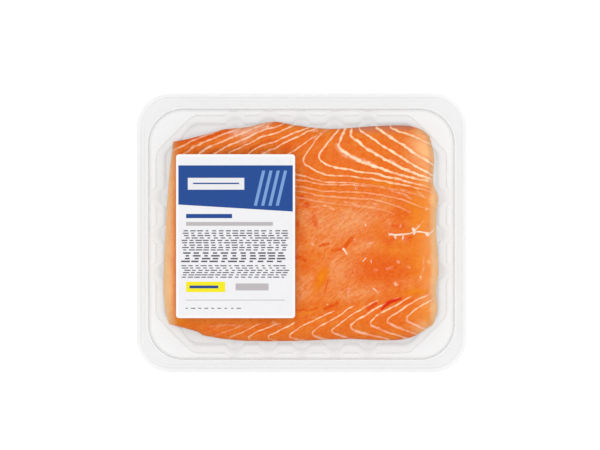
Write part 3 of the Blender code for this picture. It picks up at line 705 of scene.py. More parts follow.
    # Pale marks: fat flecks, and at some dots painted glints of the wet flesh.
    uneven = nodes.math("MULTIPLY_ADD", nodes.math("MULTIPLY", speck, fine), 1.1, 0.22)
    pale_and_glint_marks = nodes.math("MULTIPLY", pale_and_glint_marks, uneven, clamp=True)
    colour = nodes.mix(pale_and_glint_marks, colour, shade(look.fat_and_glint_colour))
    nodes.feed(shader.inputs["Base Color"], colour)

    moist = nodes.group(shared("moist_surface", build_moist_surface), {
        "Vector": coordinates, "Scale": 650.0, "Smoothest": 0.30, "Roughest": 0.52,
    })
    nodes.feed(shader.inputs["Roughness"], moist.outputs["Roughness"])
    height = nodes.math("MULTIPLY_ADD", masks[0][0], 0.5, moist.outputs["Height"])
    height = nodes.math("MULTIPLY_ADD", masks[1][0], 0.5, height)
    height = nodes.math("MULTIPLY_ADD", streak, 0.5, height)
    bump(nodes, shader, height, 0.6, 0.00025)
    nodes.feed(shader.inputs["Subsurface Weight"], 0.12)
    nodes.feed(shader.inputs["Subsurface Radius"], (1.0, 0.35, 0.15))
    nodes.feed(shader.inputs["Subsurface Scale"], 0.0025)
    nodes.feed(shader.inputs["Specular IOR Level"], 0.06)
    nodes.feed(shader.inputs["IOR"], 1.38)
    return material


def fat_and_glint_material():
    """Fat crumbs and strands that lie on the flesh; where they sit on the flesh's glints, their pale colour
    is a painted highlight.
    """
    look = settings().fillet
    material, nodes, shader, coordinates = new_material("fat_and_glint_fleck")
    inputs = {"Vector": coordinates, "Scale": 900.0, "Contrast": 0.5}
    patch = nodes.group(shared("soft_mottle", build_mottle), inputs).outputs["Value"]
    colour = nodes.mix(patch, shade(look.fat_and_glint_colour), shade(look.fat_pink_colour))
    nodes.feed(shader.inputs["Base Color"], colour)
    moist = nodes.group(shared("moist_surface", build_moist_surface), {
        "Vector": coordinates, "Scale": 900.0, "Smoothest": 0.25, "Roughest": 0.45,
    })
    nodes.feed(shader.inputs["Roughness"], moist.outputs["Roughness"])
    bump(nodes, shader, moist.outputs["Height"], 0.4, 0.0001)
    nodes.feed(shader.inputs["Subsurface Weight"], 0.2)
    nodes.feed(shader.inputs["Subsurface Radius"], (1.0, 0.5, 0.3))
    nodes.feed(shader.inputs["Subsurface Scale"], 0.001)
    return material


def skin_material():
    """Wet fish skin: rows of small scales, dark at the back edge and silver at the belly edge."""
    look = settings().skin
    material, nodes, shader, coordinates = new_material("fish_skin")
    slanted = nodes.add("ShaderNodeMapping", {
        "Vector": coordinates, "Rotation": (0.0, 0.0, math.radians(look.row_slant)),
    }).outputs[0]
    stretched = nodes.add("ShaderNodeMapping", {"Vector": slanted, "Scale": (0.78, 1.0, 0.3)}).outputs[0]
    inputs = {"Vector": stretched, "Scale": 1.0 / look.scale_size, "Randomness": 0.45}
    scales = nodes.add("ShaderNodeTexVoronoi", inputs, feature="DISTANCE_TO_EDGE").outputs["Distance"]
    rim = nodes.remap(scales, 0.01, 0.12, kind="SMOOTHSTEP")
    cells = nodes.add("ShaderNodeTexVoronoi", inputs, feature="F1")
    tone = nodes.math("MULTIPLY_ADD", cells.outputs["Distance"], -0.35, 1.0)
    across = nodes.add("ShaderNodeSeparateXYZ", {0: coordinates}).outputs[1]
    wobble = nodes.noise(coordinates, 70.0, detail=3.0)
    across = nodes.math("MULTIPLY_ADD", wobble, 0.03, across)
    share = nodes.remap(across, -0.035, 0.050, kind="SMOOTHSTEP")
    colour = nodes.mix(share, shade(look.back_colour), shade(look.belly_colour))
    colour = nodes.mix(nodes.math("SUBTRACT", 1.0, rim), colour, shade(look.seam_colour))
    grey = nodes.add("ShaderNodeCombineColor", {0: tone, 1: tone, 2: tone}).outputs[0]
    colour = nodes.mix(1.0, colour, grey, "MULTIPLY")
    nodes.feed(shader.inputs["Base Color"], colour)
    moist = nodes.group(shared("moist_surface", build_moist_surface), {
        "Vector": coordinates, "Scale": 500.0, "Smoothest": 0.18, "Roughest": 0.36,
    })
    nodes.feed(shader.inputs["Roughness"], moist.outputs["Roughness"])
    nodes.feed(shader.inputs["Metallic"], nodes.math("MULTIPLY", share, 0.35))
    bump(nodes, shader, nodes.math("MULTIPLY_ADD", rim, 1.5, moist.outputs["Height"]), 0.7, 0.0002)
    return material


def paper_material():
    """Satin label paper with a brighter border round a faintly grey field."""
    look = settings().label
    material, nodes, shader, coordinates = new_material("label_paper")
    parts = nodes.add("ShaderNodeSeparateXYZ", {0: coordinates})
    middle = look.centre
    reach_x = nodes.math("ABSOLUTE", nodes.math("SUBTRACT", parts.outputs[0], middle[0]))
    reach_y = nodes.math("ABSOLUTE", nodes.math("SUBTRACT", parts.outputs[1], middle[1]))
    to_x = nodes.math("SUBTRACT", look.length / 2, reach_x)
    to_y = nodes.math("SUBTRACT", look.width / 2, reach_y)
    inset = nodes.math("MINIMUM", to_x, to_y)
    field = nodes.remap(inset, look.border - 0.0002, look.border + 0.0002, kind="SMOOTHSTEP")
    inputs = {"Vector": coordinates, "Scale": 1500.0, "Contrast": 0.6}
    fibre = nodes.group(shared("soft_mottle", build_mottle), inputs).outputs["Value"]
    fibre = nodes.math("MULTIPLY", fibre, 0.25)
    paper = nodes.mix(fibre, shade(look.field_colour), shade(look.paper_colour))
    colour = nodes.mix(field, shade(look.paper_colour), paper)
    nodes.feed(shader.inputs["Base Color"], colour)
    moist = nodes.group(shared("moist_surface", build_moist_surface), {
        "Vector": coordinates, "Scale": 1200.0, "Smoothest": 0.42, "Roughest": 0.55,
    })
    nodes.feed(shader.inputs["Roughness"], moist.outputs["Roughness"])
    bump(nodes, shader, moist.outputs["Height"], 0.2, 0.00003)
    return material


def ink_material(name, colour):
    """Printed ink, a little uneven."""
    material, nodes, shader, coordinates = new_material(name)
    inputs = {"Vector": coordinates, "Scale": 1800.0, "Contrast": 0.7}
    patch = nodes.group(shared("soft_mottle", build_mottle), inputs).outputs["Value"]
    lighter = tuple(channel + (1.0 - channel) * 0.012 for channel in colour)
    nodes.feed(shader.inputs["Base Color"], nodes.mix(patch, shade(colour), shade(lighter)))
    nodes.feed(shader.inputs["Roughness"], nodes.remap(patch, 0.0, 1.0, 0.42, 0.52))
    nodes.feed(shader.inputs["Specular IOR Level"], 0.12)
    return material


def floor_material():
    """Plain pale floor with a barely visible unevenness."""
    look = settings().stage
    material, nodes, shader, coordinates = new_material("pale_floor")
    inputs = {"Vector": coordinates, "Scale": 12.0, "Contrast": 0.8}
    patch = nodes.group(shared("soft_mottle", build_mottle), inputs).outputs["Value"]
    darker = tuple(channel * 0.985 for channel in look.floor_colour)
    nodes.feed(shader.inputs["Base Color"], nodes.mix(patch, shade(look.floor_colour), shade(darker)))
    nodes.feed(shader.inputs["Roughness"], 0.7)
    nodes.feed(shader.inputs["Specular IOR Level"], 0.2)
    nodes.feed(shader.inputs["Emission Color"], (1.0, 1.0, 1.0, 1.0))
    nodes.feed(shader.inputs["Emission Strength"], look.floor_glow)
    return material


def new_object(name, mesh, material):
    """Object for a mesh, with its material."""
    item = bpy.data.objects.new(name, mesh)
    bpy.context.scene.collection.objects.link(item)
    if material:
        mesh.materials.clear()
        mesh.materials.append(material)
    return item


def mesh_from(bm, name):
    """New mesh from a bmesh, which is freed."""
    mesh = bpy.data.meshes.new(name)
    bm.to_mesh(mesh)
    bm.free()
    return mesh


def settle(item):
    """Turns an object's evaluated shape into its plain mesh and drops its modifiers."""
    bpy.context.view_layer.update()
    graph = bpy.context.evaluated_depsgraph_get()
    evaluated = item.evaluated_get(graph)
    mesh = bpy.data.meshes.new_from_object(evaluated, preserve_all_data_layers=True, depsgraph=graph)
    mesh.name = item.name
    item.modifiers.clear()
    item.data = mesh
    if not len(mesh.polygons):
        raise RuntimeError(item.name + " has no faces")


def grow(item, tree, values):
    """Runs a geometry node tree on an object with its inputs set by name, and keeps the result."""
    modifier = item.modifiers.new(tree.name, "NODES")
    modifier.node_group = tree
    for socket in tree.interface.items_tree:
        if socket.item_type == "SOCKET" and socket.in_out == "INPUT" and socket.name in values:
            modifier[socket.identifier] = values[socket.name]
    settle(item)


def attach(item, slot, *nodes_replaced):
    """Lets a finished piece ride on the pack and hides the CAD nodes that it stands for; the slot is not
    used.
    """
    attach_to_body(item, "root")
    if nodes_replaced:
        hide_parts(*nodes_replaced)


def side_places(half_straight):
    """Even places along one straight side, from one end to the other, not at its ends."""
    count = int(math.ceil(2 * half_straight / STATION_STEP))
    return [half_straight * (2 * k / count - 1) for k in range(1, count)]


def flute_share(place, side):
    """How far the wall stands out at a place along its side: 1 on a flute's crest, 0 between flutes."""
    flutes, pitch = side
    nearest = min(abs(place - (k - (flutes - 1) / 2) * pitch) for k in range(flutes))
    slope = (FLUTE_BASE - FLUTE_CREST) / 2
    return float(smooth((FLUTE_BASE / 2 - nearest) / slope))


def tray_stations():
    """Stations round the tray, anticlockwise from the +X side, along its sides and round its corners."""
    long_side = side_places(RIM_LENGTH / 2 - TRAY_CORNER)
    short_side = side_places(RIM_WIDTH / 2 - TRAY_CORNER)
    sides = (
        (short_side, SHORT_SIDE, (1, 1)), (long_side, LONG_SIDE, (-1, 1)),
        (short_side, SHORT_SIDE, (-1, -1)), (long_side, LONG_SIDE, (1, -1)),
    )
    stations = []
    for number, (places, side, corner) in enumerate(sides):
        start = math.radians(number * 90.0)
        for place in places:
            outward = Vector((math.cos(start), math.sin(start)))
            flute = flute_share(place, side)
            stations.append({"outward": outward, "flute": flute, "place": place, "corner": None})
        for step in range(CORNER_STEPS + 1):
            angle = start + math.radians(90.0) * step / CORNER_STEPS
            outward = Vector((math.cos(angle), math.sin(angle)))
            stations.append({"outward": outward, "flute": 0.0, "place": None, "corner": corner})
    return stations


def frame_point(station, length, width, shift):
    """Place of a station on a rounded rectangle that is shifted along Y."""
    outward = station["outward"]
    if station["corner"]:
        sign_x, sign_y = station["corner"]
        centre = Vector((sign_x * (length / 2 - TRAY_CORNER), sign_y * (width / 2 - TRAY_CORNER)))
        point = centre + outward * TRAY_CORNER
    else:
        along = Vector((-outward.y, outward.x))
        half = length / 2 if abs(outward.x) > abs(outward.y) else width / 2
        point = outward * half + along * station["place"]
    return point + Vector((0, shift))


def ledge_inset(point, outward, flute):
    """Distance from the rim in to the chamfered ledge line, less where a flute stands out."""
    half_length = LEDGE_LENGTH / 2
    half_width = LEDGE_WIDTH / 2
    diagonal = (half_length + half_width - LEDGE_CHAMFER) / math.sqrt(2)
    slant = math.sqrt(0.5)
    sides = (((1, 0), half_length), ((0, 1), half_width), ((slant, slant), diagonal))
    place = Vector((abs(point.x), abs(point.y - RIM_SHIFT)))
    inward = Vector((-abs(outward.x), -abs(outward.y)))
    reaches = []
    for normal, limit in sides:
        closing = -Vector(normal).dot(inward)
        if closing > LEAST_CLOSING:
            reaches.append((Vector(normal).dot(place) - limit) / closing)
    reaches = np.array(reaches)
    longest = reaches.max()
    softened = longest + LEDGE_SOFTNESS * np.log(np.exp((reaches - longest) / LEDGE_SOFTNESS).sum())
    return float(softened) - flute * FLUTE_DEPTH


def tray_profile():
    """The tray's section from its lip in to its floor.

    Each corner holds its level, its inset from the outer edge or from the rim, its bend radius and how
    strongly the bend is painted as a line: painted shade above 0, painted highlight below 0.
    """
    top = TRAY_HEIGHT
    foot = LOWER_WALL_DRAFT + FOOT_ROUND

    def rim(inset):
        return lambda point, outward, flute: inset

    def ledge(extra):
        return lambda point, outward, flute: ledge_inset(point, outward, flute) + extra

    return (
        (top - LIP_DROP, PLASTIC, None, 0.0, 0.0),
        (top - SEAL_STEP, PLASTIC, None, LIP_ROUND, 0.0),
        (top - SEAL_STEP, SEAL_STEP_INSET - SEAL_STEP, None, 0.0002, 0.1),
        (top, SEAL_STEP_INSET, None, 0.0002, 0.1),
        (top, SEAL_STEP_INSET + 0.0010, None, 0.0002, 0.0),
        (top - 0.00012, SEAL_STEP_INSET + 0.0013, None, 0.0001, 0.1),
        (top - 0.00012, SEAL_STEP_INSET + 0.0017, None, 0.0001, 0.1),
        (top, SEAL_STEP_INSET + 0.0020, None, 0.0002, 0.0),
        # Just outside the rim the value is below 0: a lighter line, painted highlight of the rim's bend.
        (top, None, rim(-0.0009), 0.0002, -0.6),
        (top, None, rim(0.0), 0.0006, 1.0),
        (top - UPPER_WALL_DROP, None, rim(UPPER_WALL_DRAFT), 0.0007, 0.15),
        (top - LEDGE_DROP, None, ledge(0.0), 0.0006, 0.85),
        (PLASTIC + FOOT_ROUND, None, ledge(LOWER_WALL_DRAFT), 0.0012, 0.0),
        (PLASTIC, None, ledge(foot), 0.0015, 0.25),
        (PLASTIC, None, ledge(foot + 0.0040), 0.0, 0.0),
    )


def station_path(station, profile):
    """Points down one station's section, with its bends rounded, and how strongly each is painted as a
    shade or highlight line.
    """
    corners = []
    outward = station["outward"]
    for level, outer_inset, wall_inset, radius, line in profile:
        if wall_inset is None:
            point = frame_point(station, TRAY_LENGTH, TRAY_WIDTH, 0.0) - outward * outer_inset
        else:
            point = frame_point(station, RIM_LENGTH, RIM_WIDTH, RIM_SHIFT)
            point = point - outward * wall_inset(point, outward, station["flute"])
        if level < TRAY_HEIGHT - UPPER_WALL_DROP:
            line = line * (1 - FLUTE_LINE_FADE * station["flute"])
        corners.append((Vector((point.x, point.y, level)), radius, line))
    path = [(corners[0][0], 0.0)]
    for before, (corner, radius, line), after in zip(corners[:-2], corners[1:-1], corners[2:]):
        back = before[0] - corner
        ahead = after[0] - corner
        start = corner + back.normalized() * min(radius, back.length * BEND_SHARE)
        end = corner + ahead.normalized() * min(radius, ahead.length * BEND_SHARE)
        for step in range(BEND_STEPS + 1):
            t = step / BEND_STEPS
            place = start * (1 - t) ** 2 + corner * 2 * t * (1 - t) + end * t * t
            path.append((place, line * 4 * t * (1 - t)))
    path.append((corners[-1][0], 0.0))
    return path


def tray_mesh():
    """The tray's inner face as one mesh: a loft of its sections, closed by its floor."""
    stations = tray_stations()
    profile = tray_profile()
    paths = [station_path(station, profile) for station in stations]
    count = len(paths)
    rows = len(paths[0])
    points = [tuple(point) for path in paths for point, _ in path]
    bend_shade_lines = [line for path in paths for _, line in path]
    faces = []
    for k in range(count):
        here = k * rows
        ahead = (k + 1) % count * rows
        for row in range(rows - 1):
            faces.append((here + row + 1, ahead + row + 1, ahead + row, here + row))
    faces.append([k * rows + rows - 1 for k in range(count)])
    mesh = bpy.data.meshes.new("tray_shell")
    mesh.from_pydata(points, [], faces)
    mesh.update()
    # Bend values carry the painted shade and highlight lines of the bends.
    mesh.attributes.new("bend", "FLOAT", "POINT").data.foreach_set("value", bend_shade_lines)
    bm = bmesh.new()
    bm.from_mesh(mesh)
    bmesh.ops.remove_doubles(bm, verts=bm.verts, dist=WELD_DISTANCE)
    bm.to_mesh(mesh)
    bm.free()
    return mesh


def fillet_shares(span, cell):
    """Even grid places along one direction of the fillet."""
    return np.linspace(0.0, 1.0, int(round(span / cell)) + 1)


def curve_length(points):
    """Length of the line through points."""
    return float(np.linalg.norm(np.diff(np.array(points), axis=0), axis=1).sum())


EDGES = [curve_through(points) for points in (BACK_EDGE, BELLY_EDGE, HEAD_CUT, TAIL_CUT)]
FILLET_SPAN = (curve_length(BELLY_EDGE), curve_length(TAIL_CUT))


def fillet_points(u, v):
    """Places on the fillet: u from the head cut to the tail cut, v from the back edge to the belly edge."""
    back, belly, head, tail = (edge(shares) for edge, shares in zip(EDGES, (u, u, v, v)))
    corners = [BACK_EDGE[0], BACK_EDGE[-1], BELLY_EDGE[0], BELLY_EDGE[-1]]
    corners = [np.array(corner) for corner in corners]
    u = u[:, None]
    v = v[:, None]
    low = corners[0] * (1 - u) + corners[1] * u
    high = corners[2] * (1 - u) + corners[3] * u
    return (back * (1 - v) + belly * v + head * (1 - u) + tail * u - low * (1 - v) - high * v) * FULLER


def full_thickness(u, v):
    """Thickness of the flesh away from its edges."""
    return knots(THICKNESS_ACROSS, v)[:, 0] * (1 + TAPER_ALONG * (0.5 - u))


def edge_share(u, v):
    """Share of the full thickness: a leaning cut at both ends, a rounded natural edge at both sides."""
    to_cut = np.minimum(u, 1 - u) * FILLET_SPAN[0]
    to_natural = np.minimum(v, 1 - v) * FILLET_SPAN[1]
    lean = to_cut / CUT_LEAN
    lean = np.where(lean < 0.6, lean, 1 - 0.4 * np.exp(-(lean - 0.6) / 0.4))
    cut = CUT_FOOT + (1 - CUT_FOOT) * lean
    back_off = 1 - np.clip(to_natural / NATURAL_ROUND, 0, 1)
    natural = NATURAL_FOOT + (1 - NATURAL_FOOT) * np.sqrt(1 - back_off**2)
    return np.minimum(cut, natural)


def undercut_share(v):
    """How much of the edge's height the underside rises: much at a natural edge, little along a cut."""
    to_natural = np.minimum(v, 1 - v) * FILLET_SPAN[1]
    return UNDERCUT_NATURAL + (UNDERCUT_CUT - UNDERCUT_NATURAL) * smooth(to_natural / NATURAL_ROUND)


def grain_line(family, number):
    """One fat line, from its upper end down to its vertex and on to the tail."""
    x, y = knots(family["vertex"], number)[0]
    upper_far, upper, lower, far, droop = np.radians(knots(family["angles"], number)[0])
    bend, upper_relax, lower_relax = knots(family["lengths"], number)[0]
    before = int(round(family["upper_reach"] / LINE_STEP))
    after = int(round(family["lower_reach"] / LINE_STEP))
    reach = np.arange(-before, after + 1) * LINE_STEP
    turn = smooth((reach + bend) / (2 * bend))
    late = smooth((x + reach - DROOP_START) / DROOP_RUN)
    upper_now = upper + (upper_far - upper) * (1 - np.exp(np.clip(reach, None, 0) / upper_relax))
    lower_now = far + (lower - far) * np.exp(-np.clip(reach, 0, None) / lower_relax) + droop * late
    heading = (np.pi + upper_now) * (1 - turn) + (2 * np.pi - lower_now) * turn
    path = np.cumsum(np.stack([np.cos(heading), np.sin(heading)], 1) * LINE_STEP, 0)
    return path - path[before] + np.array([x, y])


class GrainField:
    """Running line number over the fillet, read from lines laid a tenth of a number apart."""

    SPACING = 0.1

    def __init__(self, family):
        self.family = family
        self.numbers = np.arange(-1.0, family["count"] + 1.0, self.SPACING)
        self.lines = np.array([grain_line(family, number) for number in self.numbers])
        across = np.gradient(self.lines, self.SPACING, axis=0)
        along = np.gradient(self.lines, LINE_STEP, axis=1)
        area = across[..., 0] * along[..., 1] - across[..., 1] * along[..., 0]
        area = np.where(np.abs(area) < LEAST_AREA, LEAST_AREA, area)
        self.slope = np.stack([along[..., 1] / area, -along[..., 0] / area], -1)
        self.tree = KDTree(self.lines.shape[0] * self.lines.shape[1])
        for k, place in enumerate(self.lines.reshape(-1, 2)):
            self.tree.insert((place[0], place[1], 0.0), k)
        self.tree.balance()

    def look_up(self, places):
        """Line number, distance to the nearest laid line, reach along it and pitch, for each place."""
        found = [self.tree.find((x, y, 0.0)) for x, y in places]
        nearest = np.array([k for _, k, _ in found])
        distance = np.array([d for _, _, d in found])
        row, column = np.divmod(nearest, self.lines.shape[1])
        slope = self.slope[row, column]
        step = np.sum((places - self.lines[row, column]) * slope, axis=1)
        number = self.numbers[row] + np.clip(step, -self.SPACING, self.SPACING)
        reach = column * LINE_STEP - self.family["upper_reach"]
        pitch = 1.0 / np.maximum(np.linalg.norm(slope, axis=1), 1.0)
        return number, distance, reach, np.clip(pitch, *PITCH_RANGE)


def spot(places, centre, radii, turn, sharpness):
    """Soft ellipse, 1 in its middle, in the photograph's pixels. The turn is in degrees."""
    x, y = from_photo(*centre)
    across = places[:, 0] - x
    up = places[:, 1] - y
    angle = math.radians(turn)
    a = (across * math.cos(angle) + up * math.sin(angle)) / (radii[0] * PIXEL)
    b = (up * math.cos(angle) - across * math.sin(angle)) / (radii[1] * PIXEL)
    return np.exp(-((a * a + b * b) ** sharpness))


def stroke(places, points, width):
    """Soft line through points, both in the photograph's pixels."""
    corners = np.array([from_photo(*point) for point in points])
    nearest = np.full(len(places), 1.0)
    for start, end in zip(corners[:-1], corners[1:]):
        run = end - start
        share = np.clip((places - start) @ run / (run @ run), 0, 1)
        nearest = np.minimum(nearest, np.linalg.norm(places - start - share[:, None] * run, axis=1))
    return 1 - smooth((nearest / PIXEL - width * 0.25) / (width * 0.5))


def most(*masks):
    """Largest of several masks."""
    return np.clip(np.max(np.stack(masks), axis=0), 0, 1)


def spots(places, table):
    """Strongest of a table's spots at each place."""
    return most(*[spot(places, *row[:3], SPOT_SHARPNESS) * row[3] for row in table])


def strokes(places, table):
    """Strongest of a table's strokes at each place."""
    return most(*[stroke(places, points, width) * strength for points, width, strength in table])


def fade(values, start, run):
    """Eased step from 0 at the start to 1 after the run."""
    return smooth((values - start) / run)


def flesh_zones(places):
    """Colour zones over the flesh, as masks from 0 to 1 for each place."""
    px = places[:, 0] / PIXEL + PHOTO_MIDDLE[0]
    deep = most(spots(places, DEEP_SPOTS), strokes(places, DEEP_STROKES))
    amber = spots(places, AMBER_SPOTS)
    fuller = 1 - 0.9 * most(deep, amber)
    return {
        "deep": deep,
        "amber": amber,
        "lining": spots(places, LINING_SPOTS),
        # Cut: paler ends, partly their own tone, partly painted light through the thin edges.
        "cut": most(
            (1 - fade(px, *HEAD_CUT_FADE)) * 0.95, fade(px, *TAIL_CUT_FADE) * 0.62 * fuller,
            fade(px, *TAIL_EDGE_FADE) * 0.85, spots(places, PALE_EDGE_SPOTS),
        ),
        # Brown: the belly edge's own browner tone plus painted shade where it rounds away.
        "brown": strokes(places, BROWN_STROKES),
        "gash": strokes(places, GASH_STROKES),
        "haze": spots(places, HAZE_SPOTS) * fuller,
        # Pale: fat flecks, and at some dots painted glints.
        "pale": strokes(places, PALE_AND_GLINT_STROKES),
    }


def wavered(places, waves):
    """Places moved a little by smooth noise, the same in every run."""
    for size, amount in waves:
        along = [noise.noise(Vector((x / size, y / size, 0.37))) for x, y in places]
        across = [noise.noise(Vector((x / size + 17.3, y / size - 8.9, 5.61))) for x, y in places]
        places = places + np.stack([along, across], 1) * amount
    return places


def line_form(family, number, distance, reach, places):
    """Strength, width and pinkness of the nearest fat line at each place."""
    index = np.clip(np.rint(number).astype(int), 0, family["count"])
    upper = np.array(family["upper_strength"])[index]
    lower = np.array(family["lower_strength"])[index]
    strength = upper + (lower - upper) * smooth(reach / TURN_BLEND + 0.5)
    width = np.array(family["width"])[index] * 0.001
    inside = (number > -0.5) & (number < family["count"] + 0.5)
    strength = strength * inside * (1 - fade(distance, LINE_STEP, LINE_FADE))
    px = places[:, 0] / PIXEL + PHOTO_MIDDLE[0]
    py = PHOTO_MIDDLE[1] - places[:, 1] / PIXEL
    if family is BELLY_LINES:
        start, end, run = THICK_RUN
        thick = smooth(reach / start) * (1 - fade(reach, end, run)) * (index == THICK_LINE)
        narrow = np.where((reach < 0) & (index < NARROW_COUNT), NARROW_UPPER, 1.0)
        width = (width + thick * THICK_EXTRA) * narrow
        pink = (reach < 0) * UPPER_PINK
        at_tail = fade(px, *TAIL_LINE_FADE) * fade(py, *TAIL_LINE_FADE_BELOW)
        strength = strength * (1 - fade(py, *CENTRE_FADE)) * (1 - 0.75 * at_tail)
    else:
        pink = smooth(reach / BACK_PINK_BLEND)
        thicker = 1 + pink * BACK_THICKENING * (1 - fade(reach, *BACK_THICK_RUN))
        width = width * BACK_WIDTH * thicker
        strength = strength * (1 - BACK_VERTEX_GAP * np.exp(-((reach / BACK_VERTEX_REACH) ** 2)))
    return strength, width, pink


def fillet_surface(cell):
    """Top of the flesh as arrays: grid size, shares u and v, places, heights, and what its looks need."""
    us = fillet_shares(FILLET_SPAN[0], cell)
    vs = fillet_shares(FILLET_SPAN[1], cell)
    u, v = (grid.ravel() for grid in np.meshgrid(us, vs, indexing="ij"))
    places = fillet_points(u, v)
    moved = wavered(places, LINE_WAVES)
    along = np.clip(places[:, 0], LATERAL_GROOVE[0][0], LATERAL_GROOVE[-1][0])
    above = places[:, 1] - knots(LATERAL_GROOVE, along)[:, 0]
    of_belly = smooth(above / SIDE_BLEND)
    of_back = 1 - smooth((above + BACK_SIDE_GAP) / SIDE_BLEND)
    looks = {}
    ridges = np.zeros(len(places))
    for name, family, side, belongs in (
        ("belly", BELLY_LINES, above > 0, of_belly), ("back", BACK_LINES, above <= 0, of_back),
    ):
        number, distance, reach, pitch = GrainField(family).look_up(moved)
        strength, width, pink = line_form(family, number, distance, reach, places)
        looks[name + "_lines"] = np.stack([number, pitch, reach], 1)
        looks[name + "_form"] = np.stack([strength * belongs, width, pink], 1)
        wave = (0.5 - 0.5 * np.cos(2 * np.pi * number)) * (1 - fade(distance, LINE_STEP, RIDGE_FADE))
        ridges = np.where(side, wave, ridges)
    zones = flesh_zones(wavered(places, ZONE_WAVES))
    looks["zones"] = np.stack([zones[name] for name in ("deep", "amber", "lining", "cut")], 1)
    looks["marks"] = np.stack([zones[name] for name in ("brown", "gash", "haze", "pale")], 1)
    share = edge_share(u, v)
    rise = ridges * RIDGE_HEIGHT * (1 - 0.5 * zones["haze"])
    rise = rise - np.exp(-((above / GROOVE_WIDTH) ** 2)) * GROOVE_DEPTH
    rise = rise - zones["gash"] * GASH_DEPTH - zones["deep"] * DEEP_DIP + zones["pale"] * PALE_RISE
    lumps = np.array([noise.fractal(Vector((x, y, 0.0)) / LUMP_SIZE, 1.0, 2.0, 3) for x, y in places])
    rise = rise + lumps * LUMP_HEIGHT
    heights = full_thickness(u, v) * share + rise * share
    return (len(us), len(vs)), us, vs, places, heights, looks


def border(columns, rows):
    """Grid places round the border, anticlockwise from the back edge's head end."""
    lower = [(i, 0) for i in range(columns - 1)]
    right = [(columns - 1, j) for j in range(rows - 1)]
    upper = [(i, rows - 1) for i in range(columns - 1, 0, -1)]
    left = [(0, j) for j in range(rows - 1, 0, -1)]
    return lower + right + upper + left


def underside(u, v, inset):
    """Places and rises on the underside, a given distance in from the border."""
    share = edge_share(u, v)
    height = full_thickness(u, v) * share * undercut_share(v)
    rise = height * (1 - inset / UNDERCUT_REACH) ** 2
    along = inset / FILLET_SPAN[0]
    across = inset / FILLET_SPAN[1]
    return fillet_points(along + u * (1 - 2 * along), across + v * (1 - 2 * across)), rise


def flesh_mesh(cell):
    """Flesh: a fine grid over the top, rings that curl under, a flat base, and its looks as attributes."""
    (columns, rows), us, vs, places, heights, looks = fillet_surface(cell)
    points = [np.column_stack([places, FLESH_FLOOR + heights])]
    faces = []
    for i in range(columns - 1):
        for j in range(rows - 1):
            k = i * rows + j
            faces.append((k, k + rows, k + rows + 1, k + 1))
    loop = border(columns, rows)
    ring = [i * rows + j for i, j in loop]
    sources = [np.arange(columns * rows)]
    u = np.array([us[i] for i, _ in loop])
    v = np.array([vs[j] for _, j in loop])
    first = ring
    total = columns * rows
    for inset in UNDERCUT_STEPS:
        below, rise = underside(u, v, inset)
        points.append(np.column_stack([below, FLESH_FLOOR + rise]))
        following = list(range(total, total + len(loop)))
        total += len(loop)
        for k in range(len(loop)):
            ahead = (k + 1) % len(loop)
            faces.append((following[k], following[ahead], ring[ahead], ring[k]))
        sources.append(np.array(first))
        ring = following
    faces.append(ring[::-1])
    mesh = bpy.data.meshes.new("salmon_flesh")
    mesh.from_pydata(np.concatenate(points).tolist(), [], faces)
    source = np.concatenate(sources)
    for name, values in looks.items():
        kind = "FLOAT_COLOR" if values.shape[1] == 4 else "FLOAT_VECTOR"
        attribute = mesh.attributes.new(name, kind, "POINT")
        key = "color" if kind == "FLOAT_COLOR" else "vector"
        attribute.data.foreach_set(key, values[source].astype(np.float32).ravel())
    mesh.shade_smooth()
    mesh.update()
    return mesh


def finish_group(nodes, source, sink, shape):
    """Ends a geometry node group: real mesh with the group's material."""
    real = nodes.add("GeometryNodeRealizeInstances", {"Geometry": shape.outputs[0]})
    finished = nodes.add("GeometryNodeSetMaterial", {
        "Geometry": real.outputs[0], "Material": source.outputs["Material"],
    })
    nodes.feed(sink.inputs[0], finished.outputs[0])
    return nodes.tree


def build_sheet(name):
    """Thin sheet with round corners, from its size, place and level."""
    nodes, source, sink = new_group(
        name, "GeometryNodeTree",
        (("Length", "NodeSocketFloat", 0.1), ("Width", "NodeSocketFloat", 0.1),
         ("Corner", "NodeSocketFloat", 0.002), ("Corner steps", "NodeSocketInt", 8),
         ("Thickness", "NodeSocketFloat", 0.0002), ("Base", "NodeSocketVector", None),
         ("Material", "NodeSocketMaterial", None)),
        (("Geometry", "NodeSocketGeometry"),),
    )
    outline = nodes.add("GeometryNodeCurvePrimitiveQuadrilateral", {
        "Width": source.outputs["Length"], "Height": source.outputs["Width"],
    })
    rounded = nodes.add("GeometryNodeFilletCurve", {
        "Curve": outline.outputs[0], "Count": source.outputs["Corner steps"],
        "Radius": source.outputs["Corner"],
    }, mode="POLY")
    filled = nodes.add("GeometryNodeFillCurve", {"Curve": rounded.outputs[0]}, mode="NGONS")
    tall = nodes.add("GeometryNodeExtrudeMesh", {
        "Mesh": filled.outputs[0], "Offset Scale": source.outputs["Thickness"], "Individual": False,
    })
    under = nodes.add("GeometryNodeFlipFaces", {"Mesh": filled.outputs[0]})
    joined = nodes.add("GeometryNodeJoinGeometry")
    nodes.feed(joined.inputs[0], tall.outputs[0])
    nodes.feed(joined.inputs[0], under.outputs[0])
    welded = nodes.add("GeometryNodeMergeByDistance", {"Geometry": joined.outputs[0], "Distance": 0.000001})
    moved = nodes.add("GeometryNodeTransform", {
        "Geometry": welded.outputs[0], "Translation": source.outputs["Base"],
    })
    return finish_group(nodes, source, sink, moved)


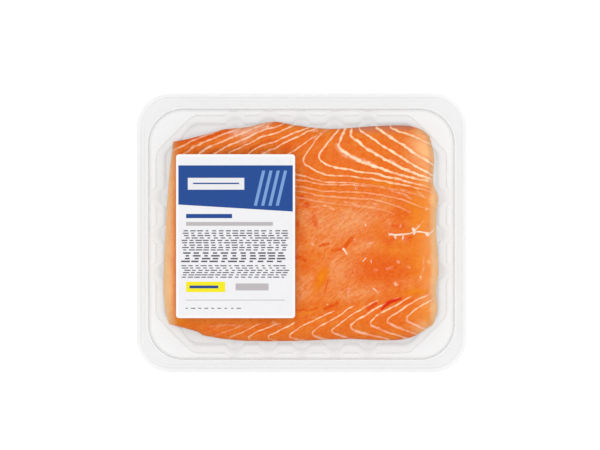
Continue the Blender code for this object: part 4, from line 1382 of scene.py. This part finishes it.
def build_print_rows(name):
    """Rows of thin plain bars of uneven length, as fine print looks from a step away."""
    nodes, source, sink = new_group(
        name, "GeometryNodeTree",
        (("Length", "NodeSocketFloat", 0.03), ("Height", "NodeSocketFloat", 0.01),
         ("Bars", "NodeSocketInt", 6), ("Rows", "NodeSocketInt", 4),
         ("Bar length", "NodeSocketFloat", 0.004), ("Bar height", "NodeSocketFloat", 0.0005),
         ("Shortest", "NodeSocketFloat", 0.6), ("Seed", "NodeSocketInt", 1),
         ("Base", "NodeSocketVector", None), ("Material", "NodeSocketMaterial", None)),
        (("Geometry", "NodeSocketGeometry"),),
    )
    grid = nodes.add("GeometryNodeMeshGrid", {
        "Size X": source.outputs["Length"], "Size Y": source.outputs["Height"],
        "Vertices X": source.outputs["Bars"], "Vertices Y": source.outputs["Rows"],
    })
    place = nodes.add("GeometryNodeInputPosition").outputs[0]
    across = nodes.add("ShaderNodeSeparateXYZ", {0: place}).outputs[1]
    row = nodes.math("ROUND", nodes.math("MULTIPLY", across, ROW_KEY))
    start = nodes.add("FunctionNodeRandomValue", {
        "Min": (-ROW_START_SHIFT, 0.0, 0.0), "Max": (ROW_START_SHIFT, 0.0, 0.0), "ID": row,
        "Seed": source.outputs["Seed"],
    }, data_type="FLOAT_VECTOR")
    uneven = nodes.add("GeometryNodeSetPosition", {"Geometry": grid.outputs[0], "Offset": start.outputs[0]})
    size = nodes.add("ShaderNodeCombineXYZ", {
        0: source.outputs["Bar length"], 1: source.outputs["Bar height"], 2: INK_THICKNESS,
    })
    bar = nodes.add("GeometryNodeMeshCube", {"Size": size.outputs[0]})
    stretch = nodes.add("FunctionNodeRandomValue", {
        "Min": (0.0, 1.0, 1.0), "Max": (1.0, 1.0, 1.0), "Seed": source.outputs["Seed"],
    }, data_type="FLOAT_VECTOR")
    least = nodes.add("ShaderNodeCombineXYZ", {0: source.outputs["Shortest"], 1: 1.0, 2: 1.0})
    nodes.feed(stretch.inputs["Min"], least.outputs[0])
    placed = nodes.add("GeometryNodeInstanceOnPoints", {
        "Points": uneven.outputs[0], "Instance": bar.outputs[0], "Scale": stretch.outputs[0],
    })
    moved = nodes.add("GeometryNodeTransform", {
        "Geometry": placed.outputs[0], "Translation": source.outputs["Base"],
    })
    return finish_group(nodes, source, sink, moved)


def build_strand(name):
    """Flattened strand that follows a path, thinner at its ends."""
    nodes, source, sink = new_group(
        name, "GeometryNodeTree",
        (("Geometry", "NodeSocketGeometry", None), ("Radius", "NodeSocketFloat", 0.0005),
         ("Step", "NodeSocketFloat", 0.0006), ("Unevenness", "NodeSocketFloat", 0.5),
         ("Material", "NodeSocketMaterial", None)),
        (("Geometry", "NodeSocketGeometry"),),
    )
    path = nodes.add("GeometryNodeMeshToCurve", {"Mesh": source.outputs["Geometry"]})
    even = nodes.add("GeometryNodeResampleCurve", {
        "Curve": path.outputs[0], "Length": source.outputs["Step"],
    }, mode="LENGTH")
    along = nodes.add("GeometryNodeSplineParameter")
    ends = nodes.math("PINGPONG", along.outputs["Factor"], 0.5)
    ends = nodes.remap(ends, 0.0, 0.16, 0.35, 1.0, kind="SMOOTHSTEP")
    rough = nodes.noise(nodes.add("GeometryNodeInputPosition").outputs[0], 500.0)
    rough = nodes.math("MULTIPLY", nodes.math("SUBTRACT", rough, 0.5), source.outputs["Unevenness"])
    thick = nodes.math("MULTIPLY", ends, nodes.math("ADD", 1.0, rough))
    thick = nodes.math("MULTIPLY", thick, source.outputs["Radius"])
    sized = nodes.add("GeometryNodeSetCurveRadius", {"Curve": even.outputs[0], "Radius": thick})
    ring = nodes.add("GeometryNodeCurvePrimitiveCircle", {"Resolution": 8, "Radius": 1.0})
    body = nodes.add("GeometryNodeCurveToMesh", {
        "Curve": sized.outputs[0], "Profile Curve": ring.outputs[0], "Fill Caps": True,
    })
    nodes.feed(body.inputs["Scale"], thick)
    return finish_group(nodes, source, sink, body)


class FilletSurface:
    """Heights on the finished flesh, for what lies on it."""

    def __init__(self, mesh):
        points = [tuple(vertex.co) for vertex in mesh.vertices]
        faces = [tuple(face.vertices) for face in mesh.polygons if len(face.vertices) == 4]
        self.tree = BVHTree.FromPolygons(points, faces)

    def on_top(self, px, py, lift=0.0):
        """Point on the flesh under a pixel of the photograph."""
        x, y = from_photo(px, py)
        hit = self.tree.ray_cast(Vector((x, y, 0.1)), Vector((0, 0, -1)))[0]
        if hit is None:
            raise RuntimeError("no flesh under %.1f, %.1f" % (px, py))
        return Vector((hit.x, hit.y, hit.z + lift))


def colour_setting(name, description, default):
    """Colour property."""
    return FloatVectorProperty(
        name=name, description=description, default=default, subtype="COLOR", size=3, min=0.0, max=1.0,
    )


def length_setting(name, description, default):
    """Length property."""
    return FloatProperty(
        name=name, description=description, default=default, unit="LENGTH", subtype="DISTANCE", min=0.0,
    )


def number_setting(name, description, default, **options):
    """Number property."""
    return FloatProperty(name=name, description=description, default=default, **options)


class TraySettings(bpy.types.PropertyGroup):
    """Looks of the tray."""

    colour: colour_setting("Colour", "Faint cast of the clear plastic", (0.45, 0.455, 0.46))
    face_on: number_setting("Face on", "Opacity seen face on", 0.125, subtype="FACTOR")
    edge_on: number_setting("Edge on", "Opacity seen along a wall", 0.26, subtype="FACTOR")


class FilletSettings(bpy.types.PropertyGroup):
    """Looks of the flesh."""

    cell: length_setting("Cell", "Grid cell of the flesh's surface", 0.00053)
    line_softness: length_setting("Line softness", "Half the blur of a fat line's border", 0.00022)
    fibre_turn: number_setting("Fibre turn", "Slant of the fine fibres, in degrees", 36.0)
    flesh_colour: colour_setting("Flesh", "Most of the flesh", (0.745, 0.188, 0.010))
    flesh_warm_colour: colour_setting("Warm flesh", "Fuller orange patches", (0.735, 0.142, 0.001))
    middle_colour: colour_setting("Middle", "Smooth paler middle", (0.765, 0.252, 0.066))
    haze_colour: colour_setting("Haze", "Pale streaks in the smooth middle", (0.81, 0.370, 0.160))
    deep_colour: colour_setting("Deep", "Redder spots", (0.69, 0.078, 0.001))
    amber_colour: colour_setting("Amber", "Amber patches", (0.79, 0.235, 0.002))
    # Cut colour: the cut flesh's paler tone, brightened as painted light through the thin edges.
    cut_and_lit_edge_colour: colour_setting("Cut", "Paler cut ends", (1.0, 0.60, 0.29))
    # Brown: the belly edge's browner tone, darkened as painted shade where it rounds away.
    edge_brown_and_shade_colour: colour_setting("Brown", "Darker natural edge", (0.60, 0.19, 0.095))
    lining_colour: colour_setting("Lining", "Pink lining of the belly", (0.82, 0.41, 0.28))
    fat_colour: colour_setting("Fat", "Fat lines", (0.97, 0.69, 0.46))
    fat_pink_colour: colour_setting("Pink fat", "Thick fat lines", (0.95, 0.60, 0.45))
    # Gash: red of the slits, darkened as painted shade in the recess.
    gash_red_and_shade_colour: colour_setting("Gash", "Open slits between flakes", (0.66, 0.026, 0.004))
    # Fleck colour: fat crumbs and strands, also painted glints of the wet flesh.
    fat_and_glint_colour: colour_setting("Fleck", "Crumbs and strands of fat", (0.98, 0.74, 0.56))


class SkinSettings(bpy.types.PropertyGroup):
    """Looks of the skin."""

    scale_size: length_setting("Scale size", "Width of one fish scale", 0.0020)
    row_slant: number_setting("Row slant", "Slant of the rows of scales, in degrees", 33.0)
    back_colour: colour_setting("Back", "Skin at the back edge", (0.075, 0.095, 0.115))
    belly_colour: colour_setting("Belly", "Skin at the belly edge", (0.62, 0.65, 0.68))
    seam_colour: colour_setting("Seams", "Lines between the scales", (0.085, 0.094, 0.104))


class FilmSettings(bpy.types.PropertyGroup):
    """Looks of the film."""

    length: length_setting("Length", "Along X", 0.1876)
    width: length_setting("Width", "Along Y", 0.1586)
    corner: length_setting("Corner", "Corner radius", 0.0188)
    colour: colour_setting("Colour", "Cast of the film", (0.93, 0.94, 0.95))
    face_on: number_setting("Face on", "Opacity seen face on", 0.0005, subtype="FACTOR")
    edge_on: number_setting("Edge on", "Opacity seen edge on", 0.14, subtype="FACTOR")


class LabelSettings(bpy.types.PropertyGroup):
    """Looks of the label and its plain print."""

    length: length_setting("Length", "Along X", 0.0685)
    width: length_setting("Width", "Along Y", 0.0943)
    corner: length_setting("Corner", "Corner radius", 0.0018)
    border: length_setting("Border", "Brighter border", 0.0013)
    centre: FloatVectorProperty(
        name="Centre", description="Middle of the label", default=(-0.0379, -0.0019), size=2, unit="LENGTH",
    )
    paper_colour: colour_setting("Paper", "Border", (0.79, 0.79, 0.80))
    field_colour: colour_setting("Field", "Printed pale field", (0.712, 0.712, 0.728))
    blue_colour: colour_setting("Blue", "Blue band", (0.003, 0.050, 0.245))
    pale_blue_colour: colour_setting("Pale blue", "Stripes on the band", (0.16, 0.30, 0.58))
    yellow_colour: colour_setting("Yellow", "Small block", (0.79, 0.70, 0.002))
    grey_colour: colour_setting("Grey", "Wide bars", (0.44, 0.41, 0.42))
    ink_colour: colour_setting("Ink", "Fine rows", (0.07, 0.07, 0.10))
    seed: IntProperty(name="Seed", description="Fixes the lengths of the fine bars", default=5)


class StageSettings(bpy.types.PropertyGroup):
    """Floor, lights and camera."""

    focal_length: number_setting("Focal length", "Lens", 250.0, unit="CAMERA")
    floor_colour: colour_setting("Floor", "Plain pale floor", (0.60, 0.60, 0.60))
    floor_glow: number_setting("Floor glow", "Light that the pale floor gives off", 0.42)
    top_light: number_setting("Top light", "Power of the top light", 42.0, unit="POWER")
    side_light: number_setting("Side light", "Power of each side light", 3.0, unit="POWER")
    sky_light: number_setting("Sky light", "Strength of the even light", 0.52)


class PackSettings(bpy.types.PropertyGroup):
    """Settings of the whole pack."""

    tray: PointerProperty(type=TraySettings, name="Tray", description="Looks of the tray")
    fillet: PointerProperty(type=FilletSettings, name="Fillet", description="Looks of the flesh")
    skin: PointerProperty(type=SkinSettings, name="Skin", description="Looks of the skin")
    film: PointerProperty(type=FilmSettings, name="Film", description="Looks of the film")
    label: PointerProperty(type=LabelSettings, name="Label", description="Looks of the label")
    stage: PointerProperty(type=StageSettings, name="Stage", description="Floor, lights and camera")


class FILLETPACK_OT_tray(bpy.types.Operator):
    """Builds the clear fluted tray"""

    bl_idname = "fillet_pack.tray"
    bl_label = "Tray"

    def execute(self, context):
        look = settings().tray
        material = plastic_material(
            "clear_tray", look.colour, look.face_on, look.edge_on, falloff=2.6, haze=0.012, deep=0.24,
            roughness=0.16, ripple=0.0004, bend_shade_and_highlight=0.42,
        )
        item = new_object("tray_shell", tray_mesh(), material)
        shell = item.modifiers.new("wall", "SOLIDIFY")
        shell.thickness = PLASTIC
        shell.offset = -1.0
        shell.use_even_offset = True
        settle(item)
        item.data.shade_smooth()
        attach(item, "tray", "tray_rim", "tray_wall", "tray_floor")
        return {"FINISHED"}


class FILLETPACK_OT_flesh(bpy.types.Operator):
    """Builds the flesh with its fat lines and colour zones"""

    bl_idname = "fillet_pack.flesh"
    bl_label = "Flesh"

    def execute(self, context):
        item = new_object("salmon_flesh", flesh_mesh(settings().fillet.cell), flesh_material())
        attach(item, "flesh", "flesh")
        return {"FINISHED"}


class FILLETPACK_OT_fat_bits(bpy.types.Operator):
    """Lays strands and crumbs of fat on the flesh, some of them pale beads as painted glints"""

    bl_idname = "fillet_pack.fat_bits"
    bl_label = "Fat strands and crumbs"

    def execute(self, context):
        look = settings().fillet
        flesh = bpy.data.objects["salmon_flesh"]
        surface = FilletSurface(flesh.data)
        material = fat_and_glint_material()
        strand = shared("strand", build_strand)
        for name, points, radius in STRANDS:
            path = [surface.on_top(px, py, radius * STRAND_LIFT) for px, py in points]
            mesh = bpy.data.meshes.new(name)
            mesh.from_pydata(path, [(k, k + 1) for k in range(len(path) - 1)], [])
            item = new_object(name, mesh, None)
            grow(item, strand, {
                "Radius": radius, "Step": STRAND_STEP, "Unevenness": STRAND_UNEVENNESS,
                "Material": material,
            })
            item.data.shade_smooth()
            attach(item, "flesh")
        bm = bmesh.new()
        for px, py, size in CRUMBS_AND_GLINTS:
            middle = surface.on_top(px, py)
            made = bmesh.ops.create_icosphere(bm, subdivisions=2, radius=1.0)
            turn = noise.noise(Vector((px, py, 0.5))) * 3.0
            for vertex in made["verts"]:
                x, y, z = vertex.co * size * CRUMB_RADIUS
                y = y * CRUMB_WIDTH
                vertex.co = middle + Vector((
                    x * math.cos(turn) - y * math.sin(turn), x * math.sin(turn) + y * math.cos(turn),
                    z * CRUMB_FLATNESS,
                ))
        item = new_object("fat_crumbs_and_glints", mesh_from(bm, "fat_crumbs_and_glints"), material)
        item.data.shade_smooth()
        attach(item, "flesh")
        return {"FINISHED"}


class FILLETPACK_OT_skin(bpy.types.Operator):
    """Gives the skin its scales"""

    bl_idname = "fillet_pack.skin"
    bl_label = "Skin"

    def execute(self, context):
        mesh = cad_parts["skin"].data
        mesh.materials.clear()
        mesh.materials.append(skin_material())
        return {"FINISHED"}


class FILLETPACK_OT_film(bpy.types.Operator):
    """Builds the clear lidding film"""

    bl_idname = "fillet_pack.film"
    bl_label = "Film"

    def execute(self, context):
        look = settings().film
        low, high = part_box("film")
        material = plastic_material(
            "clear_film", look.colour, look.face_on, look.edge_on, falloff=4.0, haze=0.001, deep=1.0,
            roughness=0.07, ripple=0.0002, bend_shade_and_highlight=0.0,
        )
        item = new_object("lidding_film", bpy.data.meshes.new("lidding_film"), None)
        grow(item, shared("rounded_sheet", build_sheet), {
            "Length": look.length, "Width": look.width, "Corner": look.corner, "Corner steps": 16,
            "Thickness": high[2] - low[2], "Base": (0.0, 0.0, low[2]), "Material": material,
        })
        attach(item, "film", "film")
        return {"FINISHED"}


class FILLETPACK_OT_label(bpy.types.Operator):
    """Builds the paper label"""

    bl_idname = "fillet_pack.label"
    bl_label = "Label"

    def execute(self, context):
        look = settings().label
        low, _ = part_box("label")
        item = new_object("label_paper", bpy.data.meshes.new("label_paper"), None)
        grow(item, shared("rounded_sheet", build_sheet), {
            "Length": look.length, "Width": look.width, "Corner": look.corner, "Corner steps": 8,
            "Thickness": PAPER_TOP - low[2], "Base": (*look.centre, low[2]), "Material": paper_material(),
        })
        attach(item, "label", "label")
        return {"FINISHED"}


def plate(bm, outline, level):
    """Thin flat plate with the given outline, anticlockwise, standing on a level."""
    lower = [bm.verts.new((x, y, level)) for x, y in outline]
    upper = [bm.verts.new((x, y, level + INK_THICKNESS)) for x, y in outline]
    bm.faces.new(lower[::-1])
    bm.faces.new(upper)
    for k in range(len(outline)):
        ahead = (k + 1) % len(outline)
        bm.faces.new((lower[k], lower[ahead], upper[ahead], upper[k]))


def rectangle(left, right, low, high):
    """Outline of a rectangle."""
    return [(left, low), (right, low), (right, high), (left, high)]


class FILLETPACK_OT_print(bpy.types.Operator):
    """Prints the label with plain bars and blocks"""

    bl_idname = "fillet_pack.print"
    bl_label = "Label print"

    def execute(self, context):
        look = settings().label
        middle_x, middle_y = look.centre
        half = look.length / 2 - look.border
        band = [(-half, 0.0182), (half, 0.0142), (half, 0.0408), (-half, 0.0408)]
        stripes = []
        for k in range(4):
            left = 0.0105 + k * 0.0042
            stripes.append([
                (left, 0.0176), (left + 0.0018, 0.0175), (left + 0.0066, 0.0378), (left + 0.0048, 0.0378),
            ])
        plates = (
            ("label_band", look.blue_colour, (band,), 0),
            ("label_stripes", look.pale_blue_colour, stripes, 1),
            ("label_plate", look.field_colour, (rectangle(-0.0275, 0.0050, 0.0268, 0.0336),), 1),
            ("label_block", look.yellow_colour, (rectangle(-0.0285, -0.0060, -0.0322, -0.0262),), 0),
            ("label_headings", look.blue_colour, (
                rectangle(-0.0285, -0.0020, 0.0104, 0.0128), rectangle(-0.0245, 0.0020, 0.0300, 0.0308),
                rectangle(-0.0265, -0.0100, -0.0300, -0.0284),
            ), 2),
            ("label_bars", look.grey_colour, (
                rectangle(-0.0285, 0.0215, 0.0060, 0.0082), rectangle(0.0000, 0.0190, -0.0312, -0.0272),
                rectangle(-0.0285, 0.0285, -0.0370, -0.0366),
            ), 0),
        )
        for name, colour, outlines, layer in plates:
            bm = bmesh.new()
            for outline in outlines:
                outline = [(middle_x + x, middle_y + y) for x, y in outline]
                plate(bm, outline, PAPER_TOP + layer * INK_THICKNESS)
            attach(new_object(name, mesh_from(bm, name), ink_material(name + "_ink", colour)), "label")
        ink = ink_material("fine_print_ink", look.ink_colour)
        rows = shared("print_rows", build_print_rows)
        blocks = (
            ("fine_print_upper", 0.0570, 0.0110, 15, 9, 0.00400, 0.00064, (0.0, -0.0024), 0),
            ("fine_print_strong", 0.0540, 0.0048, 11, 4, 0.00520, 0.00088, (-0.0008, -0.0121), 1),
            ("fine_print_lower", 0.0570, 0.0066, 16, 6, 0.00380, 0.00058, (0.0, -0.0203), 2),
            ("fine_print_foot", 0.0300, 0.0001, 9, 1, 0.00330, 0.00050, (-0.0120, -0.0415), 3),
        )
        for name, length, height, bars, lines, bar_length, bar_height, (x, y), extra in blocks:
            item = new_object(name, bpy.data.meshes.new(name), None)
            grow(item, rows, {
                "Length": length, "Height": height, "Bars": bars, "Rows": lines, "Bar length": bar_length,
                "Bar height": bar_height, "Shortest": SHORTEST_BAR, "Seed": look.seed + extra,
                "Base": (middle_x + x, middle_y + y, PAPER_TOP + INK_THICKNESS / 2), "Material": ink,
            })
            attach(item, "label")
        return {"FINISHED"}


class FILLETPACK_OT_stage(bpy.types.Operator):
    """Sets the floor, the lights and the camera"""

    bl_idname = "fillet_pack.stage"
    bl_label = "Stage"

    def execute(self, context):
        look = settings().stage
        scene = context.scene
        bm = bmesh.new()
        bmesh.ops.create_grid(bm, x_segments=4, y_segments=4, size=FLOOR_SIZE)
        for vertex in bm.verts:
            vertex.co.z = FLOOR_LEVEL
        new_object("pale_floor", mesh_from(bm, "pale_floor"), floor_material())

        world = bpy.data.worlds.new("even_light")
        world.use_nodes = True
        world.node_tree.nodes.clear()
        nodes = Nodes(world.node_tree)
        output = nodes.add("ShaderNodeOutputWorld")
        seen = nodes.add("ShaderNodeLightPath").outputs["Is Camera Ray"]
        strength = nodes.remap(seen, 0.0, 1.0, look.sky_light, 1.0)
        sky = nodes.add("ShaderNodeBackground", {"Color": (1.0, 1.0, 1.0, 1.0), "Strength": strength})
        nodes.feed(output.inputs["Surface"], sky.outputs[0])
        scene.world = world

        lamps = [(Vector((0.0, 0.0, TOP_LIGHT_HEIGHT)), TOP_LIGHT_SIZE, look.top_light)]
        for number in range(SIDE_LIGHTS):
            angle = math.radians(45.0 + 360.0 / SIDE_LIGHTS * number)
            x = math.cos(angle) * SIDE_LIGHT_REACH
            y = math.sin(angle) * SIDE_LIGHT_REACH
            lamps.append((Vector((x, y, SIDE_LIGHT_HEIGHT)), SIDE_LIGHT_SIZE, look.side_light))
        for number, (place, size, power) in enumerate(lamps):
            lamp = bpy.data.lights.new("soft_light_%d" % number, "AREA")
            lamp.shape = "SQUARE"
            lamp.size = size
            lamp.energy = power
            holder = bpy.data.objects.new(lamp.name, lamp)
            holder.location = place
            holder.rotation_mode = "QUATERNION"
            holder.rotation_quaternion = (-place).to_track_quat("-Z", "Y")
            holder.visible_camera = False
            scene.collection.objects.link(holder)

        camera = bpy.data.cameras.new("overhead_camera")
        camera.lens = look.focal_length
        camera.sensor_width = SENSOR_WIDTH
        camera.clip_start, camera.clip_end = CLIP_RANGE
        holder = bpy.data.objects.new("overhead_camera", camera)
        view_width = PHOTO_SIZE[0] * PIXEL
        x, y = from_photo(PHOTO_SIZE[0] / 2, PHOTO_SIZE[1] / 2)
        height = TRAY_HEIGHT + view_width * look.focal_length / camera.sensor_width
        holder.location = (x, y, height)
        holder.rotation_euler = (0.0, 0.0, 0.0)
        scene.collection.objects.link(holder)
        scene.camera = holder
        scene.view_settings.view_transform = "Standard"
        scene.view_settings.look = "None"
        return {"FINISHED"}


class FILLETPACK_PT_panel(bpy.types.Panel):
    """Lists the pack's pieces."""

    bl_label = "Fillet pack"
    bl_idname = "FILLETPACK_PT_panel"
    bl_space_type = "VIEW_3D"
    bl_region_type = "UI"
    bl_category = "Fillet pack"

    def draw(self, context):
        for kind in OPERATORS:
            self.layout.operator(kind.bl_idname, text=kind.bl_label)
        for group in ("tray", "fillet", "skin", "film", "label", "stage"):
            box = self.layout.box()
            part = getattr(context.scene.fillet_pack, group)
            for name in part.__annotations__:
                box.prop(part, name)


OPERATORS = (
    FILLETPACK_OT_stage, FILLETPACK_OT_tray, FILLETPACK_OT_flesh, FILLETPACK_OT_fat_bits,
    FILLETPACK_OT_skin, FILLETPACK_OT_film, FILLETPACK_OT_label, FILLETPACK_OT_print,
)
CLASSES = (
    TraySettings, FilletSettings, SkinSettings, FilmSettings, LabelSettings, StageSettings, PackSettings,
    *OPERATORS, FILLETPACK_PT_panel,
)


def register():
    """Registers the add-on's classes and its settings."""
    for kind in CLASSES:
        bpy.utils.register_class(kind)
    bpy.types.Scene.fillet_pack = PointerProperty(type=PackSettings)


def unregister():
    """Takes the add-on's classes and settings away again."""
    del bpy.types.Scene.fillet_pack
    for kind in reversed(CLASSES):
        bpy.utils.unregister_class(kind)


def main():
    """Builds every piece in order."""
    register()
    bpy.ops.fillet_pack.stage()
    bpy.ops.fillet_pack.tray()
    bpy.ops.fillet_pack.flesh()
    bpy.ops.fillet_pack.fat_bits()
    bpy.ops.fillet_pack.skin()
    bpy.ops.fillet_pack.film()
    bpy.ops.fillet_pack.label()
    bpy.ops.fillet_pack.print()


if __name__ == "__main__":
    main()
